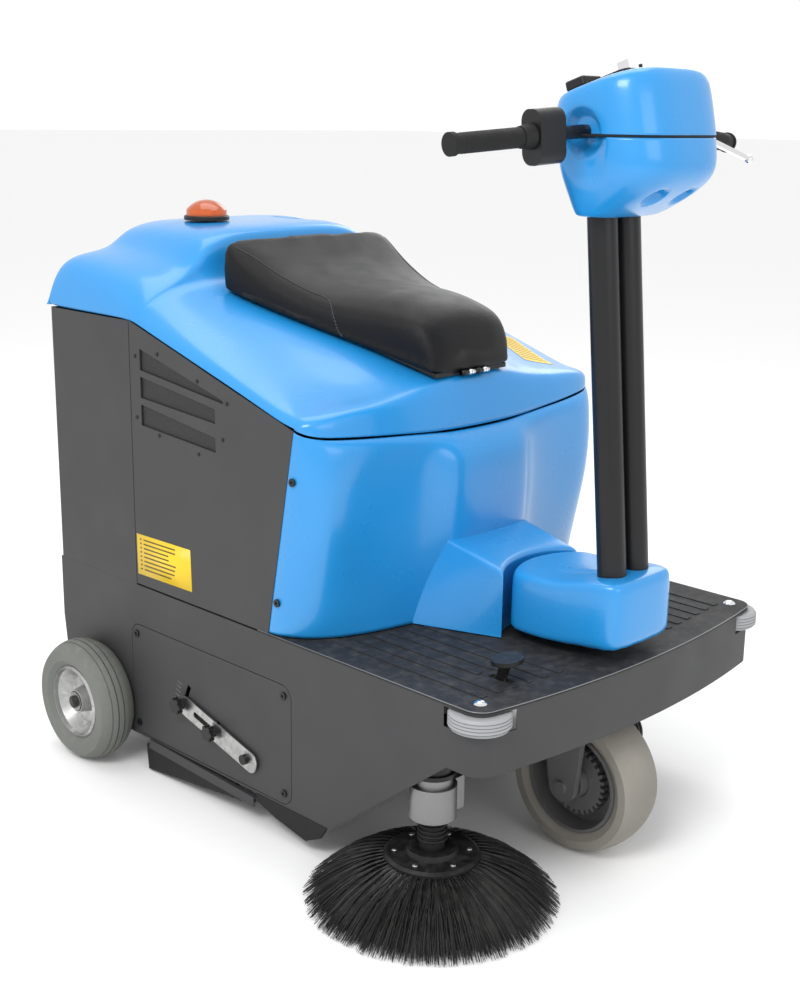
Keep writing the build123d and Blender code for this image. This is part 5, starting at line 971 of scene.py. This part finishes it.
@dataclass
class SideBrush:
    """The disc brush at the front right-hand corner."""

    tufts: int = 150
    per_tuft: int = 22
    rim: float = 0.229
    floor: float = 0.0035

    def build(self) -> None:
        """Make the bristles, and the disc's screws and ribbed collar."""
        hub_low, hub_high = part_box("brush_hub")
        centre = Vector(((hub_low[0] + hub_high[0]) / 2, (hub_low[1] + hub_high[1]) / 2, 0.0))
        top = hub_low[2] + 0.010
        made = BristleField(seed=5)
        rnd = made.random
        for t in range(self.tufts):
            ring = t % 3
            angle = 2 * math.pi * t / self.tufts + rnd.uniform(-0.01, 0.01)
            root = 0.056 + 0.010 * ring
            for _ in range(self.per_tuft):
                swing = angle + rnd.gauss(0.0, 0.040)
                reach = self.rim - 0.014 * (2 - ring) - abs(rnd.gauss(0.0, 0.012))
                droop = rnd.uniform(0.0, 0.003)
                start = centre + Vector((root * math.cos(angle), root * math.sin(angle), top))
                path = []
                for k in range(6):
                    share = k / 5
                    out = root + (reach - root) * (share ** 0.92)
                    bend = angle + (swing - angle) * ease(share * 1.2)
                    fall = top - (top - self.floor - droop) * (0.42 * share + 0.58 * share ** 2.2)
                    path.append(centre + Vector((out * math.cos(bend), out * math.sin(bend), fall)))
                path[0] = start + Vector((rnd.gauss(0, 0.0012), rnd.gauss(0, 0.0012), 0.0))
                made.bristle(path, 0.00085)
        Piece("side_bristles", "side_brush", BRISTLE, "bristle", ("brush_bristles",)).place(
            made.mesh("side_bristles"))
        self.trim(centre)

    def trim(self, centre: Vector) -> None:
        """Collar ribs and the disc's screws."""
        for k in range(4):
            place = centre + Vector((0.0, 0.0, 0.118 + 0.009 * k))
            ring = [place + Vector((0.0245 * math.cos(a), 0.0245 * math.sin(a), 0.0))
                    for a in (2 * math.pi * s / 40 for s in range(40))]
            Piece(f"collar_rib_{k}", "side_brush", BLACK_RUBBER, "black_plastic").place(
                tube(f"collar_rib_{k}", ring, 0.0026, 6, closed=True))
        for k in range(6):
            angle = 2 * math.pi * k / 6 + 0.3
            spot = centre + Vector((0.066 * math.cos(angle), 0.066 * math.sin(angle), 0.0918))
            head = ((0.0001, 0.0), (0.0052, 0.0), (0.0052, 0.0018), (0.0036, 0.0030), (0.0001, 0.0033))
            Piece(f"disc_screw_{k}", "side_brush", ZINC, "black_plastic").place(
                lathe(f"disc_screw_{k}", head, spot, Vector((0, 0, 1)), 16))


@dataclass
class Broom:
    """The cylinder broom: chevron rows of bristles on its core."""

    rows: int = 12
    radius: float = 0.1115

    def build(self) -> None:
        """Make the bristles."""
        low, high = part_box("broom_core")
        axis = Vector((0.0, (low[1] + high[1]) / 2, (low[2] + high[2]) / 2))
        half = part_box("broom_bristles")[1][0] - 0.006
        made = BristleField(seed=11)
        rnd = made.random
        for row in range(self.rows):
            for k in range(64):
                x = -half + 2 * half * (k + 0.5) / 64
                angle = 2 * math.pi * row / self.rows + abs(x) * 1.1
                for _ in range(5):
                    turn = angle + rnd.gauss(0.0, 0.020)
                    out = self.radius - abs(rnd.gauss(0.0, 0.002))
                    end_x = x + rnd.gauss(0.0, 0.0022)
                    path = [
                        axis + Vector((x + (end_x - x) * s, r * math.cos(a), r * math.sin(a)))
                        for s, r, a in ((0.0, 0.031, angle), (0.5, 0.072, (angle + turn) / 2), (1.0, out, turn))]
                    made.bristle(path, 0.0009)
        Piece("broom_tufts", "broom", BRISTLE, "bristle", ("broom_bristles",)).place(made.mesh("broom_tufts"))


# ---------------------------------------------------------------- trim
def card(name: str, corners: Sequence[Vector], lift: Vector, across: int = 1, down: int = 1) -> bpy.types.Mesh:
    """A thin card between four corners, with a little thickness along lift."""
    rows = []
    for r in range(down + 1):
        left = corners[0].lerp(corners[3], r / down)
        right = corners[1].lerp(corners[2], r / down)
        rows.append([left.lerp(right, c / across) for c in range(across + 1)])
    front = [[p + lift for p in row] for row in rows]
    points = [p for row in front for p in row] + [p for row in rows for p in row]
    width, count = across + 1, (across + 1) * (down + 1)
    faces = []
    for r in range(down):
        for c in range(across):
            a = r * width + c
            faces.append((a, a + 1, a + width + 1, a + width))
            faces.append((count + a, count + a + width, count + a + width + 1, count + a + 1))
    rim = list(range(width)) + [r * width + across for r in range(1, down + 1)]
    rim += [down * width + c for c in range(across - 1, -1, -1)] + [r * width for r in range(down - 1, 0, -1)]
    for a, b in zip(rim, rim[1:] + rim[:1]):
        faces.append((a, b, count + b, count + a))
    return mesh_of(name, points, faces)


@dataclass
class Labels:
    """Plain yellow labels: ruled bars stand where a real label has its notices."""

    def build(self, hood: bpy.types.Object) -> None:
        """Make both labels."""
        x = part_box("right_side_panel")[0][0]
        corners = [Vector((x, y, z)) for y, z in ((0.355, 0.516), (0.178, 0.519), (0.175, 0.434), (0.354, 0.431))]
        self.side(corners)
        self.on_hood(hood)

    def side(self, corners: list[Vector]) -> None:
        """The label low on the right side panel."""
        out = Vector((-1.0, 0.0, 0.0))
        Piece("side_label", "chassis", YELLOW, "powder_grey").place(card("side_label", corners, out * 0.0005))
        rnd = random.Random(2)
        for row in range(8):
            down = 0.10 + 0.105 * row
            bars = ((0.06, 0.09), (0.13, 0.13 + rnd.uniform(0.45, 0.62)))
            for k, (start, stop) in enumerate(bars):
                if row < 2 and k == 1:
                    stop = 0.72
                spot = [self.inside(corners, u, v) for u, v in (
                    (start, down), (stop, down), (stop, down + 0.035), (start, down + 0.035))]
                name = f"side_label_bar_{row}_{k}"
                Piece(name, "chassis", INK, "powder_grey").place(
                    card(name, [p + out * 0.0004 for p in spot], out * 0.0003))

    @staticmethod
    def inside(corners: Sequence[Vector], u: float, v: float) -> Vector:
        """A point of a card from its shares across and down."""
        return corners[0].lerp(corners[1], u).lerp(corners[3].lerp(corners[2], u), v)

    def on_hood(self, hood: bpy.types.Object) -> None:
        """The label on the hood's left shoulder, laid on its surface."""
        tree = BVHTree.FromObject(hood, bpy.context.evaluated_depsgraph_get())
        plan = [Vector((x, y, 1.3)) for x, y in ((0.268, 0.035), (0.345, 0.015), (0.318, -0.122), (0.242, -0.108))]

        def drop(u: float, v: float, lift: float) -> Vector:
            """A point of the label laid on the hood, raised by lift."""
            above = self.inside(plan, u, v)
            place, normal, _, _ = tree.ray_cast(above, Vector((0, 0, -1)))
            return place + normal * lift

        rows = [[drop(c / 6, r / 10, 0.0006) for c in range(7)] for r in range(11)]
        Piece("hood_label", "lid", YELLOW, "blue_moulding").place(grid_mesh("hood_label", rows))
        for k in range(10):
            v = 0.08 + 0.088 * k
            strip = [[drop(0.08 + 0.84 * c / 6, v + 0.022 * r, 0.0010) for c in range(7)] for r in range(2)]
            Piece(f"hood_label_bar_{k}", "lid", INK, "blue_moulding").place(grid_mesh(f"hood_label_bar_{k}", strip))


@dataclass
class Trim:
    """Small pieces on the steelwork, wheels and controls."""

    def build(self) -> None:
        """Make every piece of trim."""
        self.deck_edge()
        self.wheel_nuts()
        self.seat_hinge()
        self.grip_ribs()
        self.setting_marks()

    def deck_edge(self) -> None:
        """A painted highlight: a bright line round the platform's edge, standing in for the light caught along its rim.
        """
        mesh = FRAME["nodes"]["platform_deck"].data
        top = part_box("platform_deck")[1][2] - 0.0017
        flat = [(v.co.x, v.co.y) for v in mesh.vertices if v.co.z > top - 0.0003]
        outer = convex_outline(flat)
        rear = max(y for _, y in outer)
        path = [Vector((x, y, top)) for x, y in outer]

        def gap(k: int) -> float:
            """Length of the span before a point, where it lies on the rear edge."""
            return (path[k] - path[k - 1]).length if path[k].y > rear - 0.001 else 0.0

        start = max(range(len(path)), key=gap)
        path = path[start:] + path[:start]
        # The tube's pale colour is a painted highlight along the platform's edge.
        Piece("deck_edge", "chassis", EDGE_HIGHLIGHT_AND_TICK_GREY, "powder_grey").place(tube("deck_edge", path, 0.0009, 6))

    def wheel_nuts(self) -> None:
        """Hub caps at the rear wheels."""
        for side, body in ((-1, "right_wheel"), (1, "left_wheel")):
            low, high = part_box(f"{'right' if side < 0 else 'left'}_rear_rim")
            face = high[0] if side > 0 else low[0]
            centre = Vector((face - side * 0.016, (low[1] + high[1]) / 2, (low[2] + high[2]) / 2))
            cap = ((0.0001, 0.0), (0.024, 0.0), (0.024, 0.007), (0.019, 0.010), (0.013, 0.010), (0.013, 0.016),
                   (0.0001, 0.017))
            Piece(f"{body}_hub_cap", body, BLACK_PLASTIC, "black_plastic").place(
                lathe(f"{body}_hub_cap", cap, centre, Vector((side, 0, 0))))

    def seat_hinge(self) -> None:
        """The bright knuckles below the saddle's front."""
        low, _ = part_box("seat_pan")
        centre = Vector((0.0, low[1] + 0.001, low[2] + 0.004))
        for k in range(4):
            x = -0.030 + 0.020 * k
            knuckle = ((0.0001, 0.0), (0.0055, 0.0), (0.0055, 0.014), (0.0001, 0.014))
            finish = CHROME if k % 2 else BLACK_PAINT
            Piece(f"hinge_knuckle_{k}", "seat", finish, "black_metal").place(
                lathe(f"hinge_knuckle_{k}", knuckle, centre + Vector((x - 0.007, 0, 0)), Vector((1, 0, 0)), 20))

    def grip_ribs(self) -> None:
        """Fine ribs round both grips."""
        for node, body, side in (("throttle_grip", "throttle", -1), ("left_grip", "steering", 1)):
            along = Vector((side * 0.98323, 0.16630, -0.07498))
            root = Vector((side * 0.118, -0.509, 1.321))
            first = 0.137 if side < 0 else 0.130
            for k in range(20):
                place = root + along * (first + 0.0058 * k)
                across = along.cross(Vector((0, 0, 1))).normalized()
                up = across.cross(along)
                ring = [place + 0.0159 * (across * math.cos(a) + up * math.sin(a))
                        for a in (2 * math.pi * s / 28 for s in range(28))]
                Piece(f"{node}_rib_{k}", body, BLACK_RUBBER, "black_rubber").place(
                    tube(f"{node}_rib_{k}", ring, 0.0006, 4, closed=True))

    def setting_marks(self) -> None:
        """Engraved setting ticks beside the broom's lever."""
        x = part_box("cover_plates")[0][0]
        pivot = Vector((x, 0.008, 0.138))
        for k in range(6):
            angle = math.radians(11.0 + 2.4 * k)
            spots = [pivot + Vector((0.0, r * math.cos(a), r * math.sin(a))) for r, a in (
                (0.226, angle), (0.242, angle), (0.242, angle + 0.006), (0.226, angle + 0.006))]
            Piece(f"setting_mark_{k}", "chassis", EDGE_HIGHLIGHT_AND_TICK_GREY, "powder_grey").place(
                card(f"setting_mark_{k}", spots, Vector((-0.0003, 0, 0))))


def convex_outline(points: Iterable[tuple[float, float]]) -> list[tuple[float, float]]:
    """The convex outline of plan points, anticlockwise."""
    ordered = sorted(set((round(x, 5), round(y, 5)) for x, y in points))

    def chain(run: Iterable[tuple[float, float]]) -> list[tuple[float, float]]:
        """One side of the outline, from its ordered points."""
        kept: list[tuple[float, float]] = []
        for p in run:
            while len(kept) > 1:
                (ax, ay), (bx, by) = kept[-2], kept[-1]
                if (bx - ax) * (p[1] - ay) - (by - ay) * (p[0] - ax) > 0:
                    break
                kept.pop()
            kept.append(p)
        return kept[:-1]
    return chain(ordered) + chain(reversed(ordered))


# ---------------------------------------------------------------- studio
@dataclass
class Studio:
    """Camera, floor and soft light.

    Args:
        eye: the camera's place.
        yaw: degrees the view turns from +Y towards +X.
        pitch: degrees it looks down.
        roll: degrees it leans.
        lens: focal length in millimetres.
    """

    eye: Vector = field(default_factory=lambda: Vector((-2.0515, -2.0151, 1.3436)))
    yaw: float = 45.38497
    pitch: float = 14.8548
    roll: float = 0.7705
    lens: float = 52.33

    def camera(self) -> None:
        """Make the camera."""
        yaw, pitch, roll = (math.radians(v) for v in (self.yaw, self.pitch, self.roll))
        ahead = Vector((math.sin(yaw) * math.cos(pitch), math.cos(yaw) * math.cos(pitch), -math.sin(pitch)))
        right = Vector((math.cos(yaw), -math.sin(yaw), 0.0))
        up = right.cross(ahead)
        right, up = (right * math.cos(roll) + up * math.sin(roll), up * math.cos(roll) - right * math.sin(roll))
        data = bpy.data.cameras.new("camera")
        data.lens = self.lens
        data.sensor_width = 36.0
        data.clip_end = 300.0
        made = bpy.data.objects.new("camera", data)
        turn = Matrix((right, up, -ahead)).transposed()
        made.matrix_world = Matrix.Translation(self.eye) @ turn.to_4x4()
        bpy.context.scene.collection.objects.link(made)
        bpy.context.scene.camera = made

    def light(self, name: str, place: Vector, size: float, power: float, aim: Vector) -> None:
        """Make one soft area light."""
        data = bpy.data.lights.new(name, "AREA")
        data.shape = "RECTANGLE"
        data.size = size
        data.size_y = size * 0.7
        data.energy = power
        made = bpy.data.objects.new(name, data)
        made.location = place
        made.rotation_euler = (aim - place).to_track_quat("-Z", "Y").to_euler()
        bpy.context.scene.collection.objects.link(made)

    def floor(self) -> None:
        """Make the plain pale floor."""
        half = 90.0
        mesh = mesh_of("floor", [Vector((x, y, 0.0)) for x, y in (
            (-half, -half), (half, -half), (half, half), (-half, half))], [(0, 1, 2, 3)])
        made = bpy.data.objects.new("floor", mesh)
        bpy.context.scene.collection.objects.link(made)
        mesh.materials.append(Finish(
            "pale_floor", (0.96, 0.96, 0.96), 0.95, scale=50.0, bump=0.0, drift=0.0, dust=0.0).material())

    def build(self) -> None:
        """Set the stage."""
        self.camera()
        self.floor()
        aim = Vector((0.0, 0.0, 0.6))
        self.light("key", Vector((-3.2, -1.2, 3.6)), 1.9, 90.0, aim)
        self.light("front", Vector((-0.6, -4.4, 2.2)), 2.4, 22.0, aim)
        self.light("top", Vector((0.6, 0.6, 4.4)), 3.2, 48.0, aim)
        self.light("rim", Vector((3.4, 1.6, 2.6)), 2.2, 20.0, aim)
        world = bpy.data.worlds.new("world")
        world.use_nodes = True
        graph = Graph(world.node_tree)
        seen = graph.add("ShaderNodeLightPath").outputs["Is Camera Ray"]
        strength = graph.spread(seen, 0.0, 1.0, 0.96, 1.05)
        background = world.node_tree.nodes["Background"]
        background.inputs["Color"].default_value = (1.0, 1.0, 1.0, 1.0)
        world.node_tree.links.new(strength, background.inputs["Strength"])
        bpy.context.scene.world = world
        bpy.context.scene.view_settings.view_transform = "Standard"


def dress_frame(frame: dict) -> None:
    """Give each CAD node its finish."""
    for name, finish in NODE_FINISH.items():
        mesh = frame["nodes"][name].data
        mesh.materials.clear()
        mesh.materials.append(finish.material())


def main(frame: dict) -> None:
    """Build the visual model round the frame.
    """
    Studio().build()
    dress_frame(frame)
    hood = Hood().build()
    for part in (FrontBody(), SteeringCover(), Head(), Seat(), SideBrush(), Broom()):
        part.build()
        LOG.info("built %s", type(part).__name__)
    Labels().build(hood)
    Trim().build()


if __name__ == "__main__":
    logging.basicConfig(level=logging.INFO)
    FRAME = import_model()
    main(FRAME)
